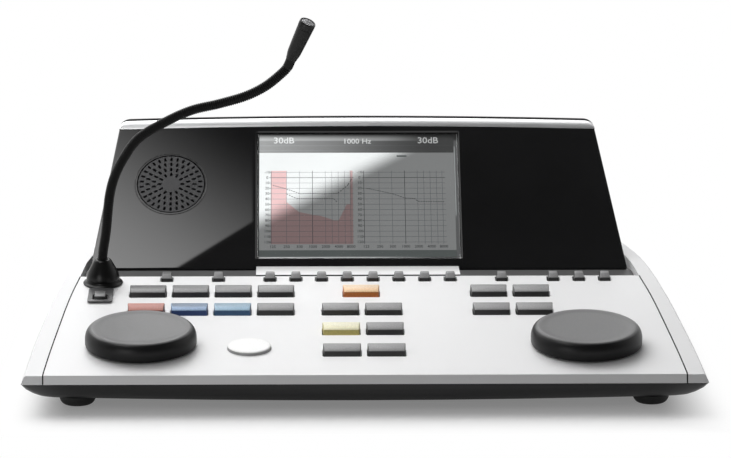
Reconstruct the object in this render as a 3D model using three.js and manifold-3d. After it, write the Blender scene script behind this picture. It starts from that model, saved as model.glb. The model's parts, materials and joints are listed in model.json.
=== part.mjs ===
import * as THREE from 'three';
import * as BufferGeometryUtils from 'three/addons/utils/BufferGeometryUtils.js';
import Module from 'manifold-3d';

// Desktop audiometer: a wedge console of keys and two dials, a display lid that
// tilts on a hinge behind the keys, and a gooseneck microphone.
// Millimetres and degrees, +Z up, front at -Y, origin on the table under the middle.

const wasm = await Module();
wasm.setup();

// Whole instrument
const bodyWidth = 365;
const bodyDepth = 295;
const frontTopHeight = 20.5;
const frontFacetHeight = 4.8;
const frontFacetLean = 1;
const consoleSlope = 8;
const wall = 2.5;
const seatGap = 0.3;
const seamGap = 0.4;
const overrun = 5;

// Side outline of the body: share of the depth, then shares of half the width for
// the belt, the top edge and the inner seam, and share of the lid thickness for the dip
const outlineShares = [
  [0.000, 1.000, 0.9885, 0.9364, 0.00],
  [0.098, 1.000, 0.9820, 0.9293, 0.00],
  [0.207, 1.000, 0.9710, 0.9189, 0.00],
  [0.376, 0.999, 0.9510, 0.9014, 0.00],
  [0.471, 0.995, 0.9360, 0.8877, 0.00],
  [0.536, 0.991, 0.9260, 0.8756, 0.03],
  [0.631, 0.980, 0.9100, 0.8652, 0.14],
  [0.715, 0.964, 0.8930, 0.8460, 0.31],
  [0.790, 0.947, 0.8690, 0.8263, 0.49],
  [0.861, 0.924, 0.8470, 0.8093, 0.67],
  [0.929, 0.896, 0.8210, 0.7934, 0.86],
  [1.000, 0.866, 0.7970, 0.7786, 1.00],
];
const outlineSteps = 20;
const hullSteps = 13;
const frontCornerRadius = 1.2;
const rearCornerRadius = 12;
const hollowMinimumShare = 0.0438;
const frontEdgeShares = [0, 0.25, 0.5, 0.75];
const cornerSteps = 4;

// Hull under the belt: share of its height, then shares of the hull's inset for the
// side, the front, the bow of the front edge and the added corner radius
const hullInset = 22;
const hullBottomHeight = 5.5;
const hullShares = [
  [0.00, 0.60, 0.27, 0.50, 0.20],
  [0.10, 0.37, 0.20, 0.43, 0.23],
  [0.32, 0.22, 0.12, 0.28, 0.25],
  [0.66, 0.09, 0.06, 0.11, 0.14],
  [0.92, 0.03, 0.03, 0.02, 0.06],
  [1.00, 0.02, 0.02, 0.00, 0.00],
];

// Console panel
const panelDepth = 158;
const panelThickness = 2.5;
const panelReturnDrop = 7;
const panelReturnThickness = 1.1;
const holeClearance = 0.3;

// Keys, in the plane of the console
const keyPitchShare = 0.065753;
const keyGap = 3.3;
const keyDepth = 10;
const keyFrontHeight = 2.9;
const keyTopHeight = 4;
const keyBevelDepth = 4.6;
const keyCornerRadius = 0.9;
const keyDraft = 0.35;
const keySkirt = 4.2;
const keyFlange = 0.8;
const keyFlangeThickness = 0.9;
const keyTravel = 1.2;
const smallKeyPitchShare = 0.040274;
const smallKeyWidth = 7;
const smallKeyDepth = 7.8;
const smallKeyFrontHeight = 1.9;
const smallKeyTopHeight = 3.6;
const smallKeyBevelDepth = 4;
const smallKeyInset = 9.3;
const keyRowShares = [0.774051, 0.584177, 0.384810, 0.174684];
const keySlotShares = {
  left: [-5, -4, -3, -2],
  middle: [-0.5, 0.5],
  centre: [0],
  right: [3, 4],
};
const smallSlotShares = {
  left: [-7.5, -5.5],
  functions: [-3.5, -2.5, -1.5, -0.5, 0.5, 1.5, 2.5, 3.5],
  right: [5.5, 7.5, 8.5, 9.5],
};

// Talk key and its plate
const talkXShare = -0.803288;
const talkKeyWidth = 7.8;
const talkKeyDepth = 8.2;
const talkPlateWidth = 14;
const talkPlateDepth = 22.4;
const talkPlateGap = 0.7;
const talkKeyInset = 3.4;
const talkPlateThickness = 1;
const talkPlateRadius = 2;

// Round push-button
const roundButtonXShare = -0.340274;
const roundButtonVShare = 0.259494;
const roundButtonRadius = 11.8;
const roundButtonHeight = 1.7;
const roundButtonEdge = 0.8;
const roundSteps = 24;

// Dials
const dialXShare = 0.661370;
const dialVShare = 0.289241;
const dialRadius = 30.2;
const dialHeight = 10.5;
const dialTopRadius = 26.2;
const dialRollHeight = 6;
const dialGap = 0.8;
const dialEdgeSteps = 4;
const dialDishDepth = 0.4;
const dialDishShare = 0.9;
const dialShaftRadius = 3;
const dialSteps = 40;
const shaftClearance = 0.5;

// Microphone
const bootXShare = -0.801644;
const bootInset = 11;
const bootFlangeRadius = 11.1;
const bootFlangeThickness = 1.1;
const bootBaseRadius = 9.4;
const bootTopRadius = 4.2;
const bootHeight = 14.2;
// Shares of the step from top to base radius, and of the boot height
const bellShares = [
  [1.00, 0.12], [0.97, 0.30], [0.88, 0.52], [0.72, 0.74], [0.42, 0.90], [0.00, 1.00],
];
const neckRadius = 2.8;
const neckRibDepth = 0.35;
const neckBoreRadius = 1.6;
const neckRibs = 100;
const neckSides = 8;
const neckReachLength = 107.3;
const neckForwardLength = 23;
const neckHeight = 138.6;
const boreEvery = 10;
const headLength = 24;
const headTipRadius = 4.6;
const headGrilleDepth = 0.8;
const headCollar = 0.4;
// Shares of the length, and of the step from collar to tip radius
const headShares = [[0, 0], [0.12, 0.15], [0.42, 0.45], [0.72, 0.9], [0.86, 1]];

// Lid, in its own plane about the hinge axis
const hingeDrop = 9;
const lidTilt = 39.45;
const lidThickness = 14;
const lidHalfShare = 0.853699;
const lidBottom = 5.25;
const lidTaper = 0.147;
const lidGlassTop = 92.25;
const lidTop = 105.1;
const lidCrown = 2.1;
const lidCornerRadius = 5;
const lidFootRadius = 1.5;
const lidWall = 2.2;
const lidSplit = 8;
const lidBackInset = 3.2;
const trimGap = 0.2;

// Display
const screenWidth = 115.2;
const screenHeight = 86.4;
const screenXShare = -0.003288;
const screenBottom = 3.25;
const openingMargin = 1.9;
const openingSideMargin = 0.6;
const openingBevel = 0.8;
const windowDrop = 0.6;
const lcdBorder = 5;
const lcdThickness = 4.6;

// Speaker
const speakerXShare = -0.603288;
const speakerY = 53.75;
const speakerRadius = 20.24;
const grilleThickness = 1.6;
const grilleGap = 0.7;
const grilleRingShares = [0.33, 0.505, 0.68, 0.855];
const grilleRingCounts = [12, 18, 24, 30];
const slotLength = 2.1;
const slotWidth = 1;
const driverFlangeRadius = 23;
const driverDepth = 8.2;
const driverMagnetRadius = 11;

// Rear deck
const troughDrop = 5.5;
const troughDepth = 25.8;
const wellFrontDepth = 11.4;
const wellDrop = 17.2;
const wellRearDepth = 8.8;
const deckDrop = 14.6;
const deckSheet = 2;

// Hinges
const hingeXShare = 0.613699;
const hingeSlotWidth = 22;
const hingeSlotTop = 4.5;
const hingeBarrelRadius = 2.6;
const hingePinRadius = 1.2;
const hingeEarWidth = 6;
const hingePlateThickness = 1.6;
const hingePlateDepth = 12;

// Feet
const footRadius = 10;
const footFlatRadius = 6;
const footHeight = 5.2;
const footSideInset = 28.7;
const rearFootSideInset = 48.5;
const footInset = 23.5;
const footEdgeSteps = 4;
const footSteps = 18;

// Circuit board
const boardDrop = 9.6;
const boardThickness = 1.6;
const boardSideInset = 26.5;
const boardFront = 16;
const boardInset = 8;
const encoderRadius = 7;
const switchSize = 6;
const postRadius = 3;
const postXShares = [-0.9, 0, 0.9];
const postVShares = [0.14, 0.86];
const postSteps = 12;

// Colours from the photograph
const silver = paint('#eeeeee', 0.42, 0.15);
const blackGloss = paint('#0b0b0c', 0.08, 0);
const blackSatin = paint('#1c1c1d', 0.45, 0);
const charcoal = paint('#3b3c3e', 0.5, 0);
const red = paint('#c8584c', 0.5, 0);
const blue = paint('#2f62a8', 0.5, 0);
const lightBlue = paint('#4a93c4', 0.5, 0);
const orange = paint('#ee9c35', 0.5, 0);
const yellow = paint('#f0bb49', 0.5, 0);
const white = paint('#f3f3f1', 0.35, 0);
const chrome = paint('#c9cbcd', 0.2, 0.9);
const grey = paint('#7d7f81', 0.5, 0.1);
const steel = paint('#9a9da0', 0.35, 1);
const rubber = paint('#151515', 0.85, 0);
const glass = paint('#9fb2b0', 0.05, 0);
const screen = paint('#d4dadb', 0.3, 0);
const green = paint('#1f6b46', 0.6, 0);

// Derived places
const halfWidth = bodyWidth / 2;
const frontY = -bodyDepth / 2;
const rearY = bodyDepth / 2;
const edgeY = frontY + frontFacetLean;
const beltHeight = frontTopHeight - frontFacetHeight;
const slope = THREE.MathUtils.degToRad(consoleSlope);
const keyPitch = keyPitchShare * bodyWidth;
const keyWidth = keyPitch - keyGap;
const smallKeyPitch = smallKeyPitchShare * bodyWidth;
const smallKeyV = panelDepth - smallKeyInset;
const [rowA, rowB, rowC, rowD] = keyRowShares.map((share) => share * panelDepth);
const talkX = talkXShare * halfWidth;
const roundButtonX = roundButtonXShare * halfWidth;
const roundButtonV = roundButtonVShare * panelDepth;
const dialX = dialXShare * halfWidth;
const dialV = dialVShare * panelDepth;
const bootX = bootXShare * halfWidth;
const bootV = panelDepth - bootInset;
const talkPlateFront = bootV - bootFlangeRadius - talkPlateGap - talkPlateDepth;
const talkV = talkPlateFront + talkKeyInset;
const troughEnd = panelDepth + troughDepth;
const hingeV = troughEnd + wellFrontDepth;
const hingeX = hingeXShare * halfWidth;
const wellEnd = hingeV + wellRearDepth;
const lidHalfWidth = lidHalfShare * halfWidth;
const screenX = screenXShare * halfWidth;
const speakerX = speakerXShare * halfWidth;
const footX = halfWidth - footSideInset;
const rearFootX = halfWidth - rearFootSideInset;
const boardHalfWidth = halfWidth - boardSideInset;
const boardRear = panelDepth - boardInset;
const lidFace = hingeDrop;
const lidBack = hingeDrop - lidThickness;
const lidJoin = lidFace - lidSplit;
const bodyRoot = new THREE.Group();
const consoleGroup = new THREE.Group();
const lidGroup = new THREE.Group();
consoleGroup.position.set(0, edgeY, frontTopHeight);
consoleGroup.rotation.x = slope;
lidGroup.position.set(0, hingeV, -hingeDrop);
lidGroup.rotation.x = THREE.MathUtils.degToRad(lidTilt);
bodyRoot.add(consoleGroup);
consoleGroup.add(lidGroup);

function paint(colour, roughness, metalness) {
  return new THREE.MeshStandardMaterial({ color: colour, roughness, metalness });
}

// Solids and meshes

function solidOf(geometry) {
  const bare = geometry.index ? geometry.clone() : geometry;
  bare.deleteAttribute('normal');
  bare.deleteAttribute('uv');
  const merged = BufferGeometryUtils.mergeVertices(bare);
  const vertProperties = new Float32Array(merged.attributes.position.array);
  const triVerts = new Uint32Array(merged.index.array);
  return new wasm.Manifold(new wasm.Mesh({ numProp: 3, vertProperties, triVerts }));
}

function geometryOf(solid) {
  const mesh = solid.getMesh();
  const geometry = new THREE.BufferGeometry();
  geometry.setAttribute('position', new THREE.BufferAttribute(mesh.vertProperties, 3));
  geometry.setIndex(new THREE.BufferAttribute(mesh.triVerts, 1));
  return geometry;
}

function addPart(name, shape, material, parent) {
  const geometry = shape.isBufferGeometry ? shape : geometryOf(shape);
  const mesh = new THREE.Mesh(geometry, material);
  mesh.name = name;
  parent.add(mesh);
  return mesh;
}

function block(x0, x1, y0, y1, z0, z1) {
  const geometry = new THREE.BoxGeometry(x1 - x0, y1 - y0, z1 - z0);
  geometry.translate((x0 + x1) / 2, (y0 + y1) / 2, (z0 + z1) / 2);
  return solidOf(geometry);
}

// A plate with its outline in the XY plane, between two heights
function plate(shape, z0, z1) {
  const geometry = new THREE.ExtrudeGeometry(shape, { depth: z1 - z0, bevelEnabled: false });
  geometry.translate(0, 0, z0);
  return solidOf(geometry);
}

// A profile in the YZ plane, run along X between two places
function bar(points, x0, x1) {
  const shape = new THREE.Shape(points);
  const geometry = new THREE.ExtrudeGeometry(shape, { depth: x1 - x0, bevelEnabled: false });
  const alongX = new THREE.Matrix4().makeBasis(
    new THREE.Vector3(0, 1, 0),
    new THREE.Vector3(0, 0, 1),
    new THREE.Vector3(1, 0, 0),
  );
  geometry.applyMatrix4(alongX);
  geometry.translate(x0, 0, 0);
  return solidOf(geometry);
}

// A turned piece about Z from a closed profile of [radius, height] points
function turned(profile, steps) {
  const points = profile.map(([radius, height]) => new THREE.Vector2(radius, height));
  const geometry = new THREE.LatheGeometry(points, steps);
  geometry.rotateX(Math.PI / 2);
  return geometry;
}

// Rings of equal length joined into one closed body, with a flat cap at each end
function loft(rings, flatten) {
  const count = rings[0].length;
  const positions = rings.flat().flatMap((point) => [point.x, point.y, point.z]);
  const indices = [];
  for (let ring = 0; ring + 1 < rings.length; ring += 1) {
    for (let side = 0; side < count; side += 1) {
      const next = (side + 1) % count;
      const a = ring * count + side;
      const b = ring * count + next;
      const c = a + count;
      const d = b + count;
      indices.push(a, b, d, a, d, c);
    }
  }
  const last = (rings.length - 1) * count;
  for (const [i, j, k] of capOf(rings[0], flatten)) {
    indices.push(i, k, j);
  }
  for (const [i, j, k] of capOf(rings[rings.length - 1], flatten)) {
    indices.push(last + i, last + j, last + k);
  }
  const geometry = new THREE.BufferGeometry();
  geometry.setAttribute('position', new THREE.Float32BufferAttribute(positions, 3));
  geometry.setIndex(signedVolume(positions, indices) < 0 ? indices.reverse() : indices);
  return geometry;
}

function capOf(ring, flatten) {
  const flat = ring.map(flatten);
  const faces = THREE.ShapeUtils.triangulateShape(flat, []);
  if (THREE.ShapeUtils.isClockWise(flat)) {
    return faces.map(([i, j, k]) => [i, k, j]);
  }
  return faces;
}

function signedVolume(positions, indices) {
  const corner = (index) => new THREE.Vector3().fromArray(positions, 3 * index);
  let volume = 0;
  for (let i = 0; i < indices.length; i += 3) {
    const a = corner(indices[i]);
    const b = corner(indices[i + 1]);
    const c = corner(indices[i + 2]);
    volume += a.dot(b.cross(c));
  }
  return volume;
}

// Rounded rectangle about a centre
function roundedRectangle(centreX, centreY, width, depth, radius, steps) {
  const points = [];
  const corners = [[1, -1, -90], [1, 1, 0], [-1, 1, 90], [-1, -1, 180]];
  for (const [sideX, sideY, start] of corners) {
    for (let step = 0; step <= steps; step += 1) {
      const angle = THREE.MathUtils.degToRad(start + 90 * step / steps);
      const x = centreX + sideX * (width / 2 - radius) + radius * Math.cos(angle);
      const y = centreY + sideY * (depth / 2 - radius) + radius * Math.sin(angle);
      points.push(new THREE.Vector2(x, y));
    }
  }
  return points;
}

function flatXY(point) {
  return new THREE.Vector2(point.x, point.y);
}

function flatXZ(point) {
  return new THREE.Vector2(point.x, point.z);
}

// A solid whose outlines in XY change with height
function stack(levels) {
  const rings = levels.map(({ outline, height }) => outline.map(
    (point) => new THREE.Vector3(point.x, point.y, height),
  ));
  return solidOf(loft(rings, flatXY));
}

// Side outline of the body

const columnCurves = [1, 2, 3, 4].map((column) => new THREE.SplineCurve(
  outlineShares.map((row) => new THREE.Vector2(row[0], row[column])),
));

// Stations from the front to the rear, with half widths and the dip of the shoulder
const stations = [];
for (let step = 0; step <= outlineSteps; step += 1) {
  const [belt, top, seam, dip] = columnCurves.map((curve) => curve.getPoint(step / outlineSteps));
  stations.push({
    y: frontY + belt.x * bodyDepth,
    belt: belt.y * halfWidth,
    top: top.y * halfWidth,
    seam: seam.y * halfWidth,
    dip: dip.y * lidThickness,
  });
}

function at(y, field) {
  if (y <= frontY || y >= rearY) {
    return stations[y <= frontY ? 0 : outlineSteps][field];
  }
  const after = stations.findIndex((station) => station.y >= y);
  const a = stations[after - 1];
  const b = stations[after];
  return THREE.MathUtils.mapLinear(y, a.y, b.y, a[field], b[field]);
}

function consoleHeight(y) {
  return frontTopHeight + (y - edgeY) * Math.tan(slope);
}

// Cheeks: the side mouldings between the seam and the belt

function cheekRing(station, inset, floor) {
  const top = consoleHeight(station.y) - station.dip * Math.cos(slope) - inset;
  const lean = (station.belt - station.top) / (top + inset - beltHeight);
  const outerTop = station.top - inset;
  const rounding = frontCornerRadius / 2;
  const outline = [
    [station.seam + seamGap / 2 + inset, floor],
    [station.belt - inset + (beltHeight - floor) * lean, floor],
    [outerTop + rounding * lean, top - rounding],
    [outerTop - rounding * lean, top - rounding / 4],
    [outerTop - rounding, top],
    [station.seam + seamGap / 2 + inset, top],
  ];
  return outline.map(([x, z]) => new THREE.Vector3(x, station.y, z));
}

function leanFront(ring) {
  return ring.map((point) => {
    const share = (point.z - beltHeight) / frontFacetHeight;
    return new THREE.Vector3(point.x, frontY + share * frontFacetLean, point.z);
  });
}

function makeCheek() {
  const rings = stations.map((station) => cheekRing(station, 0, beltHeight));
  rings[0] = leanFront(rings[0]);
  const outer = solidOf(loft(rings, flatXZ));
  const wide = (station) => station.top - station.seam > hollowMinimumShare * halfWidth;
  const hollowStations = stations.slice(2).filter(wide);
  const hollowRings = hollowStations.map((station) => cheekRing(station, wall, beltHeight - overrun));
  const hollow = solidOf(loft(hollowRings, flatXZ));
  return outer.subtract(hollow).intersect(planSolid());
}

// The body's plan with rounded corners, as a tall prism
function planSolid() {
  const outline = planOutline(0, 0, 0, frontCornerRadius);
  return plate(new THREE.Shape(outline), -overrun, bodyDepth);
}

function planOutline(sideInset, frontInset, bow, radius) {
  const right = [];
  const frontAt = (x) => frontY + frontInset + bow * (x / halfWidth) ** 2;
  const cornerX = halfWidth - sideInset - radius;
  for (const share of frontEdgeShares) {
    right.push(new THREE.Vector2(share * cornerX, frontAt(share * cornerX)));
  }
  for (let step = 0; step <= cornerSteps; step += 1) {
    const angle = (step / cornerSteps - 1) * Math.PI / 2;
    const x = cornerX + radius * Math.cos(angle);
    right.push(new THREE.Vector2(x, frontAt(cornerX) + radius + radius * Math.sin(angle)));
  }
  const sideStart = frontAt(cornerX) + radius;
  const sideEnd = rearY - sideInset - rearCornerRadius;
  for (let step = 1; step < hullSteps; step += 1) {
    const y = THREE.MathUtils.lerp(sideStart, sideEnd, step / hullSteps);
    right.push(new THREE.Vector2(at(y, 'belt') - sideInset, y));
  }
  for (let step = 0; step <= cornerSteps; step += 1) {
    const angle = step / cornerSteps * Math.PI / 2;
    const x = at(sideEnd, 'belt') - sideInset - rearCornerRadius * (1 - Math.cos(angle));
    right.push(new THREE.Vector2(x, sideEnd + rearCornerRadius * Math.sin(angle)));
  }
  const left = right.slice(1).reverse().map((point) => new THREE.Vector2(-point.x, point.y));
  return right.concat(left);
}

// Bottom shell: a hull drawn in below the belt, with posts for the board

function hullLevels(inset, floor, ceiling) {
  return hullShares.map(([height, side, front, bow, corner]) => ({
    outline: planOutline(
      side * hullInset + inset,
      front * hullInset + inset,
      bow * hullInset,
      frontCornerRadius + corner * hullInset,
    ),
    height: THREE.MathUtils.lerp(floor, ceiling, height),
  }));
}

function makeBottomShell() {
  const top = beltHeight - seatGap;
  const outer = stack(hullLevels(0, hullBottomHeight, top));
  const hollow = stack(hullLevels(wall, hullBottomHeight + wall, top + wall));
  let shell = outer.subtract(hollow);
  for (const [x, v] of postPlaces()) {
    const foot = new THREE.Vector3(x, v, -boardDrop - boardThickness - seatGap);
    foot.applyMatrix4(consoleGroup.matrix);
    const post = turned(
      [[0, 0], [postRadius, 0], [postRadius, bodyDepth], [0, bodyDepth]],
      postSteps,
    );
    post.translate(foot.x, foot.y, hullBottomHeight + wall / 2);
    shell = shell.add(solidOf(post).subtract(aboveBoard()));
  }
  return shell;
}

function postPlaces() {
  const places = [];
  for (const xShare of postXShares) {
    for (const vShare of postVShares) {
      places.push([xShare * boardHalfWidth, THREE.MathUtils.lerp(boardFront, boardRear, vShare)]);
    }
  }
  return places;
}

// Everything above the seat of the board, as a block turned with the console
function aboveBoard() {
  const seat = -boardDrop - boardThickness - seatGap;
  const geometry = new THREE.BoxGeometry(bodyWidth * 2, bodyDepth * 2, bodyDepth * 2);
  geometry.translate(0, 0, seat + bodyDepth);
  geometry.applyMatrix4(consoleGroup.matrix);
  return solidOf(geometry);
}

// Console panel: a folded plate between the seams, in console coordinates

function toConsole(y, z) {
  const point = new THREE.Vector3(0, y, z).applyMatrix4(consoleGroup.matrix.clone().invert());
  return new THREE.Vector2(point.y, point.z);
}

// Upright prism between the seams, from one place along Y to another
function seamPrism(from, to) {
  const right = [];
  for (let step = 0; step <= outlineSteps; step += 1) {
    const y = THREE.MathUtils.lerp(from, to, step / outlineSteps);
    right.push(new THREE.Vector2(at(y, 'seam') - seamGap / 2, y));
  }
  const left = right.slice().reverse().map((point) => new THREE.Vector2(-point.x, point.y));
  const outline = new THREE.Shape(right.concat(left));
  const geometry = new THREE.ExtrudeGeometry(outline, { depth: 2 * bodyDepth, bevelEnabled: false });
  geometry.translate(0, 0, -bodyDepth);
  geometry.applyMatrix4(consoleGroup.matrix.clone().invert());
  return solidOf(geometry);
}

function makePanel() {
  const lipBottom = toConsole(frontY, beltHeight);
  const lipInner = toConsole(frontY + wall, beltHeight);
  const profile = [
    new THREE.Vector2(0, 0),
    lipBottom,
    lipInner,
    new THREE.Vector2(wall, -panelThickness),
    new THREE.Vector2(panelDepth - panelReturnThickness, -panelThickness),
    new THREE.Vector2(panelDepth - panelReturnThickness, -panelReturnDrop),
    new THREE.Vector2(panelDepth, -panelReturnDrop),
    new THREE.Vector2(panelDepth, 0),
  ];
  const folded = bar(profile, -halfWidth, halfWidth);
  let panel = folded.intersect(seamPrism(frontY - overrun, edgeY + panelDepth));
  for (const key of keys) {
    const hole = roundedRectangle(
      key.x,
      key.v + key.depth / 2,
      key.width + 2 * holeClearance,
      key.depth + 2 * holeClearance,
      keyCornerRadius,
      1,
    );
    panel = panel.subtract(plate(new THREE.Shape(hole), -overrun, overrun));
  }
  for (const side of [-1, 1]) {
    panel = panel.subtract(shaftHole(side * dialX, dialV, dialShaftRadius + shaftClearance));
  }
  return panel.subtract(shaftHole(roundButtonX, roundButtonV, roundButtonRadius + holeClearance));
}

function shaftHole(x, v, radius) {
  const hole = turned([[0, -overrun], [radius, -overrun], [radius, overrun], [0, overrun]], roundSteps);
  hole.translate(x, v, 0);
  return solidOf(hole);
}

// Keys: a wedge-topped cap with a drafted skirt and a retaining flange under the panel

const bigKey = {
  width: keyWidth,
  depth: keyDepth,
  front: keyFrontHeight,
  top: keyTopHeight,
  bevel: keyBevelDepth,
};
const smallKey = {
  width: smallKeyWidth,
  depth: smallKeyDepth,
  front: smallKeyFrontHeight,
  top: smallKeyTopHeight,
  bevel: smallKeyBevelDepth,
};
const keys = [];

function keyRow(name, form, slots, pitch, v, materials) {
  slots.forEach((slot, index) => {
    const label = slots.length > 1 ? `${name}_${index + 1}` : name;
    keys.push({ ...form, name: label, x: slot * pitch, v, material: materials[index] ?? charcoal });
  });
}

keyRow('key_left_upper', bigKey, keySlotShares.left, keyPitch, rowA, []);
keyRow('key_left_lower', bigKey, keySlotShares.left, keyPitch, rowB, [red, blue, lightBlue]);
keyRow('key_orange', bigKey, keySlotShares.centre, keyPitch, rowA, [orange]);
keyRow('key_middle_upper', bigKey, keySlotShares.middle, keyPitch, rowB, []);
keyRow('key_middle_centre', bigKey, keySlotShares.middle, keyPitch, rowC, [yellow]);
keyRow('key_middle_lower', bigKey, keySlotShares.middle, keyPitch, rowD, []);
keyRow('key_right_upper', bigKey, keySlotShares.right, keyPitch, rowA, []);
keyRow('key_right_lower', bigKey, keySlotShares.right, keyPitch, rowB, []);
keyRow('small_key_left', smallKey, smallSlotShares.left, smallKeyPitch, smallKeyV, []);
keyRow('function_key', smallKey, smallSlotShares.functions, smallKeyPitch, smallKeyV, []);
keyRow('small_key_right', smallKey, smallSlotShares.right, smallKeyPitch, smallKeyV, []);
keys.push({
  ...smallKey,
  name: 'talk_key',
  width: talkKeyWidth,
  depth: talkKeyDepth,
  front: keyFrontHeight,
  x: talkX,
  v: talkV,
  material: charcoal,
});

function makeKey(key) {
  const ring = (inset) => roundedRectangle(
    0,
    key.depth / 2,
    key.width - 2 * inset,
    key.depth - 2 * inset,
    keyCornerRadius,
    1,
  );
  const body = stack([
    { outline: ring(0), height: -keySkirt },
    { outline: ring(0), height: 0 },
    { outline: ring(keyDraft), height: key.top + overrun },
  ]);
  const profile = [
    new THREE.Vector2(-overrun, -keySkirt),
    new THREE.Vector2(key.depth + overrun, -keySkirt),
    new THREE.Vector2(key.depth + overrun, key.top),
    new THREE.Vector2(key.bevel, key.top),
    new THREE.Vector2(0, key.front),
    new THREE.Vector2(-overrun, key.front - overrun * (key.top - key.front) / key.bevel),
  ];
  const cap = body.intersect(bar(profile, -key.width, key.width));
  const flangeTop = -panelThickness - seatGap;
  const flange = block(
    -key.width / 2 - keyFlange,
    key.width / 2 + keyFlange,
    keyDraft,
    key.depth - keyDraft,
    flangeTop - keyFlangeThickness,
    flangeTop,
  );
  return cap.add(flange);
}

// Round push-button with a soft edge

function makeRoundButton() {
  const edge = roundButtonEdge;
  const flangeTop = -panelThickness - seatGap;
  return turned([
    [0, -keySkirt],
    [roundButtonRadius + keyFlange, -keySkirt],
    [roundButtonRadius + keyFlange, flangeTop],
    [roundButtonRadius, flangeTop],
    [roundButtonRadius, roundButtonHeight - edge],
    [roundButtonRadius - edge / 3, roundButtonHeight - edge / 3],
    [roundButtonRadius - edge, roundButtonHeight],
    [0, roundButtonHeight],
  ], roundSteps);
}

// Dial: a low disc with a rolled edge, a shallow dish on top and its shaft below

function makeDial() {
  const rollWidth = dialRadius - dialTopRadius;
  const profile = [
    [0, -boardDrop + encoderHeight() + seatGap],
    [dialShaftRadius, -boardDrop + encoderHeight() + seatGap],
    [dialShaftRadius, dialGap],
    [dialRadius - dialGap, dialGap],
  ];
  for (let step = 0; step <= dialEdgeSteps; step += 1) {
    const angle = step / dialEdgeSteps * Math.PI / 2;
    profile.push([
      dialTopRadius + rollWidth * Math.cos(angle),
      dialHeight - dialRollHeight * (1 - Math.sin(angle)),
    ]);
  }
  profile.splice(4, 0, [dialRadius, dialGap * 2]);
  profile.push([dialTopRadius * dialDishShare, dialHeight - dialDishDepth]);
  profile.push([0, dialHeight - dialDishDepth]);
  return turned(profile, dialSteps);
}

function encoderHeight() {
  return boardDrop - panelThickness - 2 * seatGap;
}

// Circuit board with a switch under each key and an encoder under each dial

function makeBoard() {
  const floor = -boardDrop - boardThickness;
  let board = block(-boardHalfWidth, boardHalfWidth, boardFront, boardRear, floor, -boardDrop);
  const switchTop = -keySkirt - keyTravel - seatGap;
  for (const key of keys) {
    const v = Math.min(key.v + key.depth / 2, boardRear - switchSize / 2);
    board = board.add(block(
      key.x - switchSize / 2,
      key.x + switchSize / 2,
      v - switchSize / 2,
      v + switchSize / 2,
      -boardDrop - boardThickness / 2,
      switchTop,
    ));
  }
  board = board.add(block(
    roundButtonX - switchSize / 2,
    roundButtonX + switchSize / 2,
    roundButtonV - switchSize / 2,
    roundButtonV + switchSize / 2,
    -boardDrop - boardThickness / 2,
    switchTop,
  ));
  for (const side of [-1, 1]) {
    const encoder = turned([
      [0, -boardThickness / 2],
      [encoderRadius, -boardThickness / 2],
      [encoderRadius, encoderHeight()],
      [0, encoderHeight()],
    ], roundSteps / 2);
    encoder.translate(side * dialX, dialV, -boardDrop);
    board = board.add(solidOf(encoder));
  }
  return board;
}

// Rear deck: trough, hinge well, lid rest and rear wall, one folded sheet

function makeRearDeck() {
  const start = panelDepth + seatGap;
  const rearTop = toConsole(rearY, consoleHeight(rearY) - deckDrop);
  const rearFoot = toConsole(rearY, beltHeight);
  const rearFootInner = toConsole(rearY - wall, beltHeight);
  const rearTopInner = toConsole(rearY - wall, consoleHeight(rearY) - deckDrop - deckSheet);
  const profile = [
    new THREE.Vector2(start, -troughDrop),
    new THREE.Vector2(start, -troughDrop - deckSheet),
    new THREE.Vector2(troughEnd - deckSheet, -troughDrop - deckSheet),
    new THREE.Vector2(troughEnd - deckSheet, -wellDrop - deckSheet),
    new THREE.Vector2(wellEnd + deckSheet, -wellDrop - deckSheet),
    new THREE.Vector2(wellEnd + deckSheet, -deckDrop - deckSheet),
    new THREE.Vector2(rearTopInner.x, -deckDrop - deckSheet),
    rearFootInner,
    rearFoot,
    new THREE.Vector2(rearTop.x, -deckDrop),
    new THREE.Vector2(wellEnd, -deckDrop),
    new THREE.Vector2(wellEnd, -wellDrop),
    new THREE.Vector2(troughEnd, -wellDrop),
    new THREE.Vector2(troughEnd, -troughDrop),
  ];
  const folded = bar(profile, -halfWidth, halfWidth);
  return folded.intersect(seamPrism(edgeY + start * Math.cos(slope) - overrun, rearY + overrun));
}

// Lid, in coordinates about its hinge axis: y up the face, z out of the face

function lidSide(y) {
  return lidHalfWidth - lidTaper * (y + lidBottom);
}

function lidOutline(inset, top) {
  const bottom = -lidBottom + inset;
  const points = [];
  for (let step = 0; step <= 2; step += 1) {
    const angle = (step / 2 - 1) * Math.PI / 2;
    const x = lidSide(bottom) - inset - lidFootRadius * (1 - Math.cos(angle));
    points.push(new THREE.Vector2(x, bottom + lidFootRadius * (1 + Math.sin(angle))));
  }
  points.push(new THREE.Vector2(lidSide(top) - inset, top));
  const left = points.slice().reverse().map((point) => new THREE.Vector2(-point.x, point.y));
  return points.concat(left);
}

const windowWidth = screenWidth + 2 * openingMargin;
const windowHeight = screenHeight + 2 * openingSideMargin;
const windowY = screenBottom + screenHeight / 2;

function windowOutline(grow) {
  return roundedRectangle(0, windowY, windowWidth + 2 * grow, windowHeight + 2 * grow, openingBevel, 2);
}

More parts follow.
